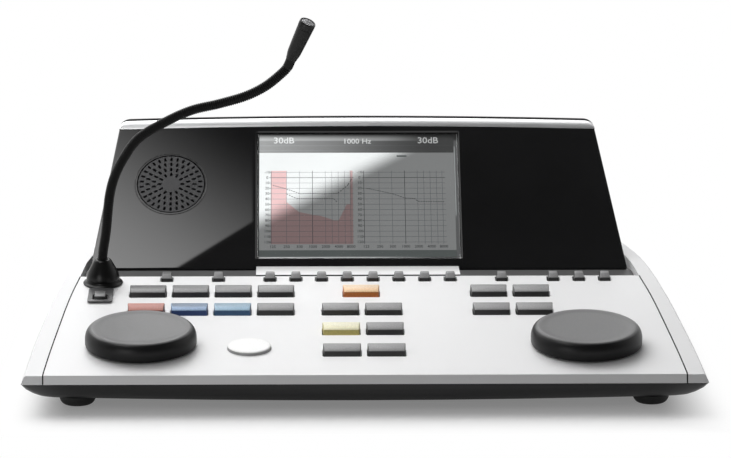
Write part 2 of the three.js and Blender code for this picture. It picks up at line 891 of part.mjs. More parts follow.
function makeLidFront() {
  const shell = stack([
    { outline: lidOutline(0, lidGlassTop), height: lidJoin },
    { outline: lidOutline(0, lidGlassTop), height: lidFace - openingBevel },
    { outline: lidOutline(openingBevel / 4, lidGlassTop), height: lidFace - openingBevel / 4 },
    { outline: lidOutline(openingBevel, lidGlassTop), height: lidFace },
  ]);
  const pocket = stack([
    { outline: lidOutline(lidWall, lidGlassTop - lidWall), height: lidJoin - overrun },
    { outline: lidOutline(lidWall, lidGlassTop - lidWall), height: lidFace - lidWall },
  ]);
  const opening = stack([
    { outline: windowOutline(0), height: lidJoin },
    { outline: windowOutline(0), height: lidFace - openingBevel },
    { outline: windowOutline(openingBevel), height: lidFace },
    { outline: windowOutline(openingBevel), height: lidFace + overrun },
  ]);
  const speakerHole = turned([
    [0, lidJoin],
    [speakerRadius, lidJoin],
    [speakerRadius, lidFace + overrun],
    [0, lidFace + overrun],
  ], roundSteps);
  speakerHole.translate(speakerX, speakerY, 0);
  return shell.subtract(pocket).subtract(opening).subtract(solidOf(speakerHole));
}

function makeLidBack() {
  const top = lidJoin - seatGap;
  const shell = stack([
    { outline: lidOutline(lidBackInset, lidGlassTop), height: lidBack },
    { outline: lidOutline(lidBackInset / 4, lidGlassTop), height: lidBack + lidBackInset / 2 },
    { outline: lidOutline(0, lidGlassTop), height: lidBack + lidBackInset },
    { outline: lidOutline(0, lidGlassTop), height: top },
  ]);
  const pocket = stack([
    { outline: lidOutline(lidWall + lidBackInset, lidGlassTop - lidWall), height: lidBack + lidWall },
    { outline: lidOutline(lidWall, lidGlassTop - lidWall), height: lidBack + lidWall + lidBackInset },
    { outline: lidOutline(lidWall, lidGlassTop - lidWall), height: top + overrun },
  ]);
  let cover = shell.subtract(pocket);
  for (const side of [-1, 1]) {
    const x0 = side * hingeX - hingeSlotWidth / 2;
    const x1 = side * hingeX + hingeSlotWidth / 2;
    const low = -lidBottom + lidBackInset;
    const cheeks = block(x0 - wall, x1 + wall, low, hingeSlotTop + wall, lidBack + lidBackInset, top);
    const slot = block(x0, x1, -lidBottom - overrun, hingeSlotTop, lidBack - overrun, top + overrun);
    cover = cover.add(cheeks).subtract(slot).add(hingePin(x0 - wall / 2, x1 + wall / 2));
  }
  return cover;
}

function hingePin(x0, x1) {
  return bar(circlePoints(0, 0, hingePinRadius, cornerSteps * 3), x0, x1);
}

function circlePoints(centreX, centreY, radius, steps) {
  const points = [];
  for (let step = 0; step < steps; step += 1) {
    const angle = 2 * Math.PI * step / steps;
    points.push(new THREE.Vector2(centreX + radius * Math.cos(angle), centreY + radius * Math.sin(angle)));
  }
  return points;
}

// Bullnose trim along the top of the lid
function makeTopTrim() {
  const start = lidGlassTop + trimGap;
  const middle = (lidFace + lidBack) / 2;
  const profile = [];
  for (let step = 0; step <= 2 * cornerSteps; step += 1) {
    const angle = (1 - step / cornerSteps) * Math.PI / 2;
    profile.push(new THREE.Vector2(
      start + (lidTop - start) * Math.cos(angle),
      middle + lidThickness / 2 * Math.sin(angle),
    ));
  }
  const shape = new THREE.Shape();
  const cornerY = lidTop - lidCrown;
  shape.moveTo(-lidSide(start), start);
  shape.lineTo(lidSide(start), start);
  shape.lineTo(lidSide(cornerY - lidCornerRadius), cornerY - lidCornerRadius);
  shape.quadraticCurveTo(lidSide(cornerY), cornerY, lidSide(cornerY) - lidCornerRadius, cornerY);
  shape.quadraticCurveTo(0, cornerY + 2 * lidCrown, -lidSide(cornerY) + lidCornerRadius, cornerY);
  shape.quadraticCurveTo(
    -lidSide(cornerY),
    cornerY,
    -lidSide(cornerY - lidCornerRadius),
    cornerY - lidCornerRadius,
  );
  return bar(profile, -halfWidth, halfWidth).intersect(plate(shape, -lidThickness, lidThickness));
}

// Speaker grille: rings of short radial slots in a disc
function makeGrille() {
  const outline = new THREE.Shape(circlePoints(0, 0, speakerRadius - grilleGap, dialSteps));
  let disc = plate(outline, lidFace - grilleThickness, lidFace);
  grilleRingShares.forEach((share, ring) => {
    const count = grilleRingCounts[ring];
    for (let slot = 0; slot < count; slot += 1) {
      const hole = new THREE.Shape(slotPoints(share * speakerRadius, 2 * Math.PI * slot / count));
      disc = disc.subtract(plate(hole, lidFace - grilleThickness - overrun, lidFace + overrun));
    }
  });
  return disc.translate([speakerX, speakerY, 0]);
}

function slotPoints(radius, angle) {
  const outline = [
    [-slotLength / 2, -slotWidth / 2],
    [slotLength / 2, -slotWidth / 2],
    [slotLength / 2, slotWidth / 2],
    [-slotLength / 2, slotWidth / 2],
  ];
  return outline.map(([x, y]) => new THREE.Vector2(radius + x, y).rotateAround(new THREE.Vector2(), angle));
}

function makeDriver() {
  const top = lidFace - lidWall - seatGap;
  const bottom = top - driverDepth;
  const sheet = grilleThickness / 2;
  const driver = turned([
    [0, bottom],
    [driverMagnetRadius, bottom],
    [driverMagnetRadius, bottom + driverDepth / 3],
    [driverFlangeRadius - wall, top - 2 * sheet],
    [driverFlangeRadius, top - 2 * sheet],
    [driverFlangeRadius, top],
    [speakerRadius - wall, top],
    [driverMagnetRadius / 2, top - driverDepth / 2],
    [0, top - driverDepth / 2 + sheet],
  ], roundSteps);
  driver.translate(speakerX, speakerY, 0);
  return driver;
}

function makeWindow() {
  const outline = new THREE.Shape(windowOutline(-seatGap));
  return plate(outline, lidFace - lidWall, lidFace - openingBevel - windowDrop / 3);
}

function makeLcd() {
  const top = lidFace - lidWall - seatGap;
  const lowEdge = screenBottom - lcdBorder;
  const highEdge = lidGlassTop - lidWall - seatGap;
  const outline = roundedRectangle(
    screenX,
    (lowEdge + highEdge) / 2,
    screenWidth + 2 * lcdBorder,
    highEdge - lowEdge,
    openingBevel,
    2,
  );
  return plate(new THREE.Shape(outline), top - lcdThickness, top);
}

// Friction hinges: two ears on a foot plate, bored for the lid's pin

function makeHinge(side) {
  const floor = -wellDrop + seatGap;
  const axisV = hingeV;
  const axisH = -hingeDrop;
  const plateRear = axisV + hingePlateDepth / 2;
  const plateFront = axisV - hingePlateDepth / 2;
  const x0 = side * hingeX - hingeSlotWidth / 2 + 2 * seatGap;
  const x1 = side * hingeX + hingeSlotWidth / 2 - 2 * seatGap;
  const half = hingeBarrelRadius;
  let hinge = block(x0, x1, plateFront, plateRear, floor, floor + hingePlateThickness);
  for (const start of [x0, x1 - hingeEarWidth]) {
    const ear = [
      new THREE.Vector2(axisV - half, floor + hingePlateThickness / 2),
      new THREE.Vector2(axisV + half, floor + hingePlateThickness / 2),
    ];
    for (let step = 0; step <= 2 * cornerSteps; step += 1) {
      const angle = step / (2 * cornerSteps) * Math.PI;
      ear.push(new THREE.Vector2(axisV + half * Math.cos(angle), axisH + half * Math.sin(angle)));
    }
    hinge = hinge.add(bar(ear, start, start + hingeEarWidth));
  }
  const bore = circlePoints(axisV, axisH, hingePinRadius + seatGap, cornerSteps * 3);
  return hinge.subtract(bar(bore, x0 - overrun, x1 + overrun));
}

// Feet and talk key plate

function makeFoot() {
  const profile = [[0, 0]];
  for (let step = 0; step <= footEdgeSteps; step += 1) {
    const angle = step / footEdgeSteps * Math.PI / 2;
    profile.push([
      THREE.MathUtils.lerp(footFlatRadius, footRadius, Math.sin(angle)),
      footHeight * (1 - Math.cos(angle)),
    ]);
  }
  profile.push([0, footHeight]);
  return turned(profile, footSteps);
}

function makeTalkPlate() {
  const outline = new THREE.Shape(roundedRectangle(
    talkX,
    talkPlateFront + talkPlateDepth / 2,
    talkPlateWidth,
    talkPlateDepth,
    talkPlateRadius,
    3,
  ));
  const talkKey = keys.find((key) => key.name === 'talk_key');
  const hole = roundedRectangle(
    talkKey.x,
    talkKey.v + talkKey.depth / 2,
    talkKey.width + 2 * holeClearance,
    talkKey.depth + 2 * holeClearance,
    keyCornerRadius,
    1,
  );
  outline.holes.push(new THREE.Path(hole));
  return plate(outline, seatGap, seatGap + talkPlateThickness);
}

// Microphone: boot, ribbed gooseneck and head, about the plug's axis

const micGroup = new THREE.Group();
micGroup.position.set(bootX, bootV, seatGap);
consoleGroup.add(micGroup);

function makeBoot() {
  const profile = [
    [neckRadius + seatGap, 0],
    [bootFlangeRadius, 0],
    [bootFlangeRadius, bootFlangeThickness / 2],
  ];
  profile.push([bootBaseRadius + bootFlangeThickness / 2, bootFlangeThickness]);
  for (const [radiusShare, heightShare] of bellShares) {
    profile.push([
      THREE.MathUtils.lerp(bootTopRadius, bootBaseRadius, radiusShare),
      heightShare * bootHeight,
    ]);
  }
  profile.push([neckRadius + seatGap, bootHeight]);
  profile.push([neckRadius + seatGap, 0]);
  return turned(profile, footSteps);
}

// Route of the gooseneck from the boot, as shares of its reach, forward lean and rise
const neckRouteShares = [
  [0.000, 0.000, 0.000],
  [0.000, 0.000, 0.050],
  [0.000, 0.000, 0.115],
  [0.022, 0.110, 0.228],
  [0.048, 0.290, 0.396],
  [0.077, 0.388, 0.480],
  [0.128, 0.480, 0.563],
  [0.202, 0.573, 0.645],
  [0.334, 0.654, 0.715],
  [0.483, 0.721, 0.772],
  [0.627, 0.755, 0.801],
  [0.770, 0.799, 0.837],
  [0.866, 0.849, 0.878],
  [0.938, 0.909, 0.926],
  [0.978, 0.951, 0.960],
  [1.000, 1.000, 1.000],
];

function neckCurve() {
  const points = neckRouteShares.map(([reach, forward, rise]) => new THREE.Vector3(
    reach * neckReachLength,
    -forward * neckForwardLength,
    rise * neckHeight,
  ));
  return new THREE.CatmullRomCurve3(points, false, 'centripetal');
}

function neckRing(centre, across, up, radius) {
  const ring = [];
  for (let side = 0; side < neckSides; side += 1) {
    const angle = 2 * Math.PI * side / neckSides;
    ring.push(centre.clone()
      .addScaledVector(across, radius * Math.cos(angle))
      .addScaledVector(up, radius * Math.sin(angle)));
  }
  return ring;
}

// Outer rings crest and valley by rib, then the bore back to the start
function makeNeck() {
  const curve = neckCurve();
  const count = 2 * neckRibs;
  const frames = curve.computeFrenetFrames(count, false);
  const straight = Math.ceil(2 * neckRadius / curve.getLength() * count);
  const outer = [];
  const bore = [];
  for (let step = 0; step <= count; step += 1) {
    const centre = curve.getPointAt(step / count);
    const plain = step < straight || step > count - straight || step % 2 === 0;
    const radius = plain ? neckRadius : neckRadius - neckRibDepth;
    outer.push(neckRing(centre, frames.normals[step], frames.binormals[step], radius));
    if (step % boreEvery === 0 || step === count) {
      bore.push(neckRing(centre, frames.normals[step], frames.binormals[step], neckBoreRadius));
    }
  }
  return tubeBetween(outer, bore.reverse());
}

// A closed tube: outer rings, inner rings back, and an annulus at each end
function tubeBetween(outer, inner) {
  const rings = outer.concat(inner);
  const count = neckSides;
  const positions = rings.flat().flatMap((point) => [point.x, point.y, point.z]);
  const indices = [];
  for (let ring = 0; ring < rings.length; ring += 1) {
    const nextRing = (ring + 1) % rings.length;
    for (let side = 0; side < count; side += 1) {
      const next = (side + 1) % count;
      const a = ring * count + side;
      const b = ring * count + next;
      const c = nextRing * count + side;
      const d = nextRing * count + next;
      indices.push(a, b, d, a, d, c);
    }
  }
  const geometry = new THREE.BufferGeometry();
  geometry.setAttribute('position', new THREE.Float32BufferAttribute(positions, 3));
  geometry.setIndex(signedVolume(positions, indices) < 0 ? indices.reverse() : indices);
  return geometry;
}

function makeHead() {
  const half = headGrilleDepth / 2;
  const body = headShares.map(([along, wide]) => [
    THREE.MathUtils.lerp(neckRadius + headCollar, headTipRadius, wide),
    headLength * along,
  ]);
  return turned([
    [0, 0],
    ...body,
    [headTipRadius, headLength - half],
    [headTipRadius - half, headLength],
    [headTipRadius - headGrilleDepth, headLength],
    [headTipRadius - headGrilleDepth, headLength - headGrilleDepth],
    [0, headLength - half],
  ], footSteps);
}

// Assembly

consoleGroup.updateMatrix();

addPart('bottom_shell', makeBottomShell(), blackSatin, bodyRoot);
const cheek = makeCheek();
addPart('right_cheek', cheek, silver, bodyRoot);
addPart('left_cheek', cheek.mirror([1, 0, 0]), silver, bodyRoot);
addPart('console_panel', makePanel(), silver, consoleGroup);
addPart('rear_deck', makeRearDeck(), chrome, consoleGroup);
addPart('main_board', makeBoard(), green, consoleGroup);
addPart('talk_key_plate', makeTalkPlate(), grey, consoleGroup);

for (const key of keys) {
  const mesh = addPart(key.name, makeKey(key), key.material, consoleGroup);
  mesh.position.set(key.x, key.v, 0);
}
const roundButton = addPart('round_button', makeRoundButton(), white, consoleGroup);
roundButton.position.set(roundButtonX, roundButtonV, 0);
for (const [name, side] of [['left_dial', -1], ['right_dial', 1]]) {
  const dial = addPart(name, makeDial(), blackSatin, consoleGroup);
  dial.position.set(side * dialX, dialV, 0);
}

addPart('hinge_left', makeHinge(-1), steel, consoleGroup);
addPart('hinge_right', makeHinge(1), steel, consoleGroup);
addPart('lid_front', makeLidFront(), blackGloss, lidGroup);
addPart('lid_back_cover', makeLidBack(), blackSatin, lidGroup);
addPart('lid_top_trim', makeTopTrim(), chrome, lidGroup);
addPart('display_window', makeWindow(), glass, lidGroup);
addPart('lcd_module', makeLcd(), screen, lidGroup);
addPart('speaker_grille', makeGrille(), blackSatin, lidGroup);
addPart('speaker_driver', makeDriver(), charcoal, lidGroup);

addPart('mic_boot', makeBoot(), rubber, micGroup);
addPart('gooseneck', makeNeck(), blackSatin, micGroup);
const head = addPart('mic_head', makeHead(), blackSatin, micGroup);
const neck = neckCurve();
const neckEnd = neck.getTangentAt(1);
head.position.copy(neck.getPointAt(1)).addScaledVector(neckEnd, seatGap);
head.quaternion.setFromUnitVectors(new THREE.Vector3(0, 0, 1), neckEnd);

const feet = [
  ['foot_front_left', -footX, frontY + footInset],
  ['foot_front_right', footX, frontY + footInset],
  ['foot_rear_left', -rearFootX, rearY - footInset - rearCornerRadius],
  ['foot_rear_right', rearFootX, rearY - footInset - rearCornerRadius],
];
for (const [name, x, y] of feet) {
  const foot = addPart(name, makeFoot(), rubber, bodyRoot);
  foot.position.set(x, y, 0);
}

export default bodyRoot;
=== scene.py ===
import json
from math import cos, pi, radians, sin

import bmesh
import bpy
from bpy.props import FloatProperty, FloatVectorProperty, IntProperty, PointerProperty
from bpy.types import Operator, Panel, PropertyGroup
from mathutils import Matrix, Vector

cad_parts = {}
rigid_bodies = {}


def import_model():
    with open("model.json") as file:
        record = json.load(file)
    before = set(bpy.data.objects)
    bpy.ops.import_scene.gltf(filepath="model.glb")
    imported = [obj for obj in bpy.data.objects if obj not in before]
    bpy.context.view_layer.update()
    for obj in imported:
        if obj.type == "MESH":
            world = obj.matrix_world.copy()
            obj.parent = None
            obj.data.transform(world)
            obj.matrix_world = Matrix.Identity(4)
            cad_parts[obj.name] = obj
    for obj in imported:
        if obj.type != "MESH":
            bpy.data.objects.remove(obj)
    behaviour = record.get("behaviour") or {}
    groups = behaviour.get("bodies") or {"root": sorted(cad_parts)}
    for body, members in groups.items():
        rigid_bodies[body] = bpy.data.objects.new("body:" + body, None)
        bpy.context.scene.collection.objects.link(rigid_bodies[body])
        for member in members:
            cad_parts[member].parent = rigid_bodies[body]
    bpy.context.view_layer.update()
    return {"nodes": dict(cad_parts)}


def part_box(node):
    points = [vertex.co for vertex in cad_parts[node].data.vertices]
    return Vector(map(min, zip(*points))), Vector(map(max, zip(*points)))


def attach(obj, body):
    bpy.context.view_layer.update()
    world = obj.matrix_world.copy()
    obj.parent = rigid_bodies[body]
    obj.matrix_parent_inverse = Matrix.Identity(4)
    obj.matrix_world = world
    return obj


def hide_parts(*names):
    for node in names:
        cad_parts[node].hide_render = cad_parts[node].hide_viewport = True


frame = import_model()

bl_info = {
    "name": "Desktop audiometer",
    "version": (1, 0, 0),
    "blender": (4, 5, 0),
    "location": "View3D > Sidebar > Audiometer",
    "description": "Keys, dials, display lid and gooseneck of a desktop audiometer",
    "category": "Object",
}


# Places taken from the frame

DIAL_LOW, DIAL_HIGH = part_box("left_dial")


# Sizes and colours that a user may change

class ConsoleSettings(PropertyGroup):
    slope: FloatProperty(
        name="Slope", description="Angle of the key panel above the table",
        default=radians(8), subtype="ANGLE")
    front_edge: FloatProperty(
        name="Front edge", description="Distance of the panel's front fold from the middle",
        default=-0.1465, unit="LENGTH", precision=4)
    front_height: FloatProperty(
        name="Front height", description="Height of the panel's front fold above the table",
        default=0.0205, unit="LENGTH", precision=4)
    edge_radius: FloatProperty(
        name="Edge radius", description="Softened edge of the painted panel and cheeks",
        default=0.0004, unit="LENGTH", precision=5)
    trough_drop: FloatProperty(
        name="Trough drop", description="Depth of the trough behind the keys",
        default=0.0055, unit="LENGTH", precision=4)


class KeySettings(PropertyGroup):
    edge_radius: FloatProperty(
        name="Edge radius", description="Softened edge of a key cap",
        default=0.0005, unit="LENGTH", precision=5)
    draft: FloatProperty(
        name="Draft", description="How far each side of a cap leans in towards its top",
        default=0.0011, unit="LENGTH", precision=5)
    charcoal: FloatVectorProperty(
        name="Charcoal", description="Colour of the tops of the plain keys",
        default=(0.28, 0.28, 0.283), size=3, subtype="COLOR")
    red: FloatVectorProperty(
        name="Red", description="Colour of the top of the red key",
        default=(0.52, 0.19, 0.146), size=3, subtype="COLOR")
    blue: FloatVectorProperty(
        name="Blue", description="Colour of the top of the blue key",
        default=(0.31, 0.46, 0.70), size=3, subtype="COLOR")
    light_blue: FloatVectorProperty(
        name="Light blue", description="Colour of the top of the light blue key",
        default=(0.35, 0.55, 0.72), size=3, subtype="COLOR")
    orange: FloatVectorProperty(
        name="Orange", description="Colour of the top of the orange key",
        default=(0.99, 0.66, 0.36), size=3, subtype="COLOR")
    yellow: FloatVectorProperty(
        name="Yellow", description="Colour of the top of the yellow key",
        default=(1.0, 0.95, 0.64), size=3, subtype="COLOR")


class DialSettings(PropertyGroup):
    radius: FloatProperty(
        name="Radius", description="Outer radius of a dial",
        default=(DIAL_HIGH.x - DIAL_LOW.x) / 2, unit="LENGTH", precision=4)
    height: FloatProperty(
        name="Height", description="Height of a dial above the panel",
        default=0.0105, unit="LENGTH", precision=4)
    shoulder_width: FloatProperty(
        name="Shoulder width", description="Width of the rolled edge of a dial",
        default=0.004, unit="LENGTH", precision=4)
    shoulder_height: FloatProperty(
        name="Shoulder height", description="Height of the rolled edge of a dial",
        default=0.006, unit="LENGTH", precision=4)
    sides: IntProperty(
        name="Sides", description="Segments round a dial", default=96, min=24, max=256)


class LidSettings(PropertyGroup):
    tilt: FloatProperty(
        name="Tilt", description="Angle of the lid above the key panel",
        default=radians(39.45), subtype="ANGLE")
    hinge_distance: FloatProperty(
        name="Hinge distance", description="Distance of the hinge axis from the front fold",
        default=0.1952, unit="LENGTH", precision=4)
    hinge_drop: FloatProperty(
        name="Hinge drop", description="Depth of the hinge axis below the key panel",
        default=0.009, unit="LENGTH", precision=4)
    edge_radius: FloatProperty(
        name="Edge radius", description="Softened edge of the glossy lid",
        default=0.0005, unit="LENGTH", precision=5)
    screen_width: FloatProperty(
        name="Screen width", description="Width of the lit picture",
        default=0.1152, unit="LENGTH", precision=4)
    screen_height: FloatProperty(
        name="Screen height", description="Height of the lit picture",
        default=0.0864, unit="LENGTH", precision=4)


class MicrophoneSettings(PropertyGroup):
    neck_radius: FloatProperty(
        name="Neck radius", description="Outer radius of the gooseneck",
        default=0.0028, unit="LENGTH", precision=4)
    ribs: IntProperty(
        name="Ribs", description="Turns of the gooseneck's winding", default=168, min=60, max=240)
    neck_sides: IntProperty(
        name="Neck sides", description="Segments round the gooseneck", default=20, min=8, max=48)


class StudioSettings(PropertyGroup):
    lens: FloatProperty(
        name="Lens", description="Focal length of the camera in millimetres", default=172.36)
    yaw: FloatProperty(
        name="Yaw", description="Turn of the camera to the right",
        default=radians(1.185), subtype="ANGLE")
    pitch: FloatProperty(
        name="Pitch", description="Tilt of the camera downwards",
        default=radians(10.565), subtype="ANGLE")
    roll: FloatProperty(
        name="Roll", description="Roll of the camera about its axis",
        default=radians(-0.097), subtype="ANGLE")
    top_light: FloatProperty(
        name="Top light", description="Power of the soft light overhead in watts", default=13.0)
    rear_light: FloatProperty(
        name="Rear light", description="Power of the soft light behind the lid in watts",
        default=16.5)
    fill_light: FloatProperty(
        name="Fill light", description="Power of the small light at the front left in watts",
        default=0.89)
    sky: FloatProperty(
        name="Sky", description="Strength of the even light from all round", default=0.22)


class AudiometerSettings(PropertyGroup):
    console: PointerProperty(type=ConsoleSettings)
    keys: PointerProperty(type=KeySettings)
    dials: PointerProperty(type=DialSettings)
    lid: PointerProperty(type=LidSettings)
    microphone: PointerProperty(type=MicrophoneSettings)
    studio: PointerProperty(type=StudioSettings)


def settings():
    return bpy.context.scene.audiometer


# Frames of the console, the lid and the microphone

def console_frame():
    console = settings().console
    place = Matrix.Translation((0, console.front_edge, console.front_height))
    return place @ Matrix.Rotation(console.slope, 4, "X")


def lid_frame():
    lid = settings().lid
    place = Matrix.Translation((0, lid.hinge_distance, -lid.hinge_drop))
    return console_frame() @ place @ Matrix.Rotation(lid.tilt, 4, "X")


BOOT_PLACE = (-0.1463, 0.147, 0.0003)


def microphone_frame():
    return console_frame() @ Matrix.Translation(BOOT_PLACE)


# Mesh helpers

FINISHES = {}


def keep_piece(name, mesh, body, nodes=()):
    """Puts a mesh into the scene as a piece that rides on a body."""
    piece = bpy.data.objects.new(name, mesh)
    bpy.context.scene.collection.objects.link(piece)
    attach(piece, body)
    if nodes:
        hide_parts(*nodes)
    return piece


def finish_piece(name, bm, place, finish, body, smooth=30, nodes=()):
    """Turns a bmesh in a local frame into a piece with a finish."""
    bmesh.ops.recalc_face_normals(bm, faces=bm.faces)
    bm.transform(place)
    mesh = bpy.data.meshes.new(name)
    bm.to_mesh(mesh)
    bm.free()
    mesh.materials.append(FINISHES[finish])
    mesh.shade_smooth()
    mesh.set_sharp_from_angle(angle=radians(smooth))
    return keep_piece(name, mesh, body, nodes)


def refined_node(name, node, finish, body, edge=0.0, smooth=30):
    """A merged copy of a CAD node with softened edges, which replaces it."""
    bm = bmesh.new()
    bm.from_mesh(frame["nodes"][node].data)
    bmesh.ops.remove_doubles(bm, verts=bm.verts, dist=5e-6)
    bmesh.ops.dissolve_degenerate(bm, dist=1e-5, edges=bm.edges)
    piece = finish_piece(name, bm, Matrix.Identity(4), finish, body, smooth, (node,))
    if edge:
        bevel = piece.modifiers.new("Softened edges", "BEVEL")
        bevel.limit_method = "ANGLE"
        bevel.angle_limit = radians(smooth)
        bevel.width = edge
        bevel.segments = 2
        bevel.use_clamp_overlap = True
    weighted = piece.modifiers.new("Face-led normals", "WEIGHTED_NORMAL")
    weighted.keep_sharp = True
    weighted.weight = 100
    return piece


def paint_node(node, finish):
    """Gives a CAD node that stays as it is a finish of its own."""
    materials = frame["nodes"][node].data.materials
    materials.clear()
    materials.append(FINISHES[finish])


def console_points(node):
    """The corners of a CAD node, measured in the frame of the console."""
    to_console = console_frame().inverted()
    return [to_console @ vert.co for vert in frame["nodes"][node].data.vertices]


def add_polygon(bm, points, z):
    return bm.faces.new([bm.verts.new((x, y, z)) for x, y in points])


def made_items(made, kind):
    return [item for item in made["geom"] if isinstance(item, kind)]


def extrude_faces(bm, faces, offset):
    made = bmesh.ops.extrude_face_region(bm, geom=faces)
    bmesh.ops.translate(bm, verts=made_items(made, bmesh.types.BMVert), vec=offset)


def add_rectangle(bm, x0, x1, y0, y1, z0, z1):
    verts = bmesh.ops.create_cube(bm, size=1)["verts"]
    bmesh.ops.scale(bm, verts=verts, vec=(x1 - x0, y1 - y0, z1 - z0))
    bmesh.ops.translate(bm, verts=verts, vec=((x0 + x1) / 2, (y0 + y1) / 2, (z0 + z1) / 2))
    return verts


def add_turned(bm, profile, steps, centre=(0, 0, 0)):
    """Spins a profile of (radius, height) points about the Z axis of its centre."""
    verts = [bm.verts.new((centre[0] + radius, centre[1], centre[2] + height))
             for radius, height in profile]
    edges = [bm.edges.new(pair) for pair in zip(verts, verts[1:])]
    bmesh.ops.spin(
        bm, geom=verts + edges, cent=centre, axis=(0, 0, 1), angle=2 * pi,
        steps=steps, use_merge=True)
    bmesh.ops.remove_doubles(bm, verts=bm.verts, dist=1e-6)


def add_loop(bm, points):
    """A closed line of edges at height 0."""
    verts = [bm.verts.new((x, y, 0)) for x, y in points]
    for pair in zip(verts, verts[1:] + verts[:1]):
        bm.edges.new(pair)


def add_swept(bm, sections):
    """A closed solid through sections, each a ring with the same number of points."""
    verts = [bm.verts.new(point) for point in sections[0]]
    edges = [bm.edges.new(pair) for pair in zip(verts, verts[1:] + verts[:1])]
    bm.faces.new(verts)
    for section in sections[1:]:
        made = bmesh.ops.extrude_edge_only(bm, edges=edges)
        fresh = set(made_items(made, bmesh.types.BMVert))
        edges = made_items(made, bmesh.types.BMEdge)
        verts = [next(edge.other_vert(vert) for edge in vert.link_edges
                      if edge.other_vert(vert) in fresh) for vert in verts]
        for vert, point in zip(verts, section):
            vert.co = point
    bmesh.ops.contextual_create(bm, geom=edges)


def bevel_edges(bm, edges, offset, segments):
    bmesh.ops.bevel(
        bm, geom=edges, offset=offset, offset_type="OFFSET", segments=segments,
        affect="EDGES", profile=0.5, material=-1, clamp_overlap=True)


# Shader nodes

def feed(socket, value):
    """Links a socket to the output of another node, or gives it a fixed value."""
    if isinstance(value, bpy.types.NodeSocket):
        socket.id_data.links.new(value, socket)
    else:
        socket.default_value = value


def feed_all(node, values):
    for key, value in values.items():
        feed(node.inputs[key], value)


def add_node(tree, kind, *inputs, **values):
    """Adds a node. Its first inputs, its named inputs and its options are given."""
    node = tree.nodes.new(kind)
    for key, value in values.items():
        if key in node.inputs:
            feed(node.inputs[key], value)
        else:
            setattr(node, key, value)
    for socket, value in zip(node.inputs, inputs):
        feed(socket, value)
    return node


def new_material(name):
    material = bpy.data.materials.new(name)
    material.use_nodes = True
    tree = material.node_tree
    return material, tree, tree.nodes["Principled BSDF"]


def bare_material(name):
    """A material with nothing but an output node."""
    material, tree, _ = new_material(name)
    tree.nodes.clear()
    return material, tree, add_node(tree, "ShaderNodeOutputMaterial")


def grey(level):
    return level, level, level, 1


def diffuse(tree, level):
    return add_node(tree, "ShaderNodeBsdfDiffuse", Color=grey(level)).outputs["BSDF"]


def emission(tree, strength):
    node = add_node(tree, "ShaderNodeEmission", Color=grey(1), Strength=strength)
    return node.outputs["Emission"]


def combine(tree, operation, first, second):
    return add_node(tree, "ShaderNodeMath", first, second, operation=operation).outputs[0]


def multiplied(tree, values, factor=1.0):
    for value in values:
        factor = combine(tree, "MULTIPLY", value, factor)
    return factor


def scaled(tree, colour, share):
    node = add_node(tree, "ShaderNodeVectorMath", colour, operation="SCALE", Scale=share)
    return node.outputs["Vector"]


def split(tree, vector):
    return add_node(tree, "ShaderNodeSeparateXYZ", Vector=vector).outputs


def object_position(tree):
    return add_node(tree, "ShaderNodeTexCoord").outputs["Object"]


def object_coordinates(tree, scale=(1, 1, 1)):
    node = add_node(tree, "ShaderNodeMapping", Vector=object_position(tree), Scale=scale)
    return node.outputs["Vector"]


def noise(tree, vector, scale, detail=3.0):
    node = add_node(tree, "ShaderNodeTexNoise", Vector=vector, Scale=scale, Detail=detail)
    return node.outputs["Fac"]


def ramp(tree, factor, low, high):
    """Blends between two colours over the middle of a factor's range."""
    node = add_node(tree, "ShaderNodeValToRGB", Fac=factor)
    first, last = node.color_ramp.elements
    first.position, last.position = 0.3, 0.7
    first.color, last.color = (*low, 1), (*high, 1)
    return node.outputs["Color"]


def spread(tree, factor, low, high, start=0.0, end=1.0):
    """Maps a factor that runs from start to end to one that runs from low to high."""
    ends = {"From Min": start, "From Max": end, "To Min": low, "To Max": high}
    return add_node(tree, "ShaderNodeMapRange", Value=factor, **ends).outputs["Result"]


def soft_step(tree, vector, direction, start, end):
    """0 before start and 1 after end, measured along a direction."""
    along = add_node(tree, "ShaderNodeVectorMath", vector, direction, operation="DOT_PRODUCT")
    step = add_node(
        tree, "ShaderNodeMapRange", interpolation_type="SMOOTHSTEP",
        Value=along.outputs["Value"], **{"From Min": start, "From Max": end})
    return step.outputs["Result"]


def bump(tree, height, distance, strength):
    node = add_node(
        tree, "ShaderNodeBump", Height=height, Strength=strength, Distance=distance)
    return node.outputs["Normal"]


def across(tree, place, direction, start, end):
    """0 before start and 1 after end, measured along a direction in the plane of a frame."""
    along = place.to_3x3() @ Vector((*direction, 0))
    offset = place.translation.dot(along)
    return soft_step(tree, object_position(tree), along, start + offset, end + offset)


def across_lid(tree, direction, start, end):
    return across(tree, lid_frame(), direction, start, end)


def seen_directly(tree):
    """1 for what the camera sees itself or in metal and glass, 0 for light that bounces."""
    path = add_node(tree, "ShaderNodeLightPath").outputs
    clear = combine(tree, "MAXIMUM", path["Is Camera Ray"], path["Is Glossy Ray"])
    return combine(tree, "MAXIMUM", clear, path["Is Transmission Ray"])


# Materials

BROAD_SCALE = 38
FLAT_START, FLAT_END = 0.93, 0.975


def uneven(tree, factor, roughness, less=0.88, more=1.12):
    return spread(tree, factor, roughness * less, roughness * more)


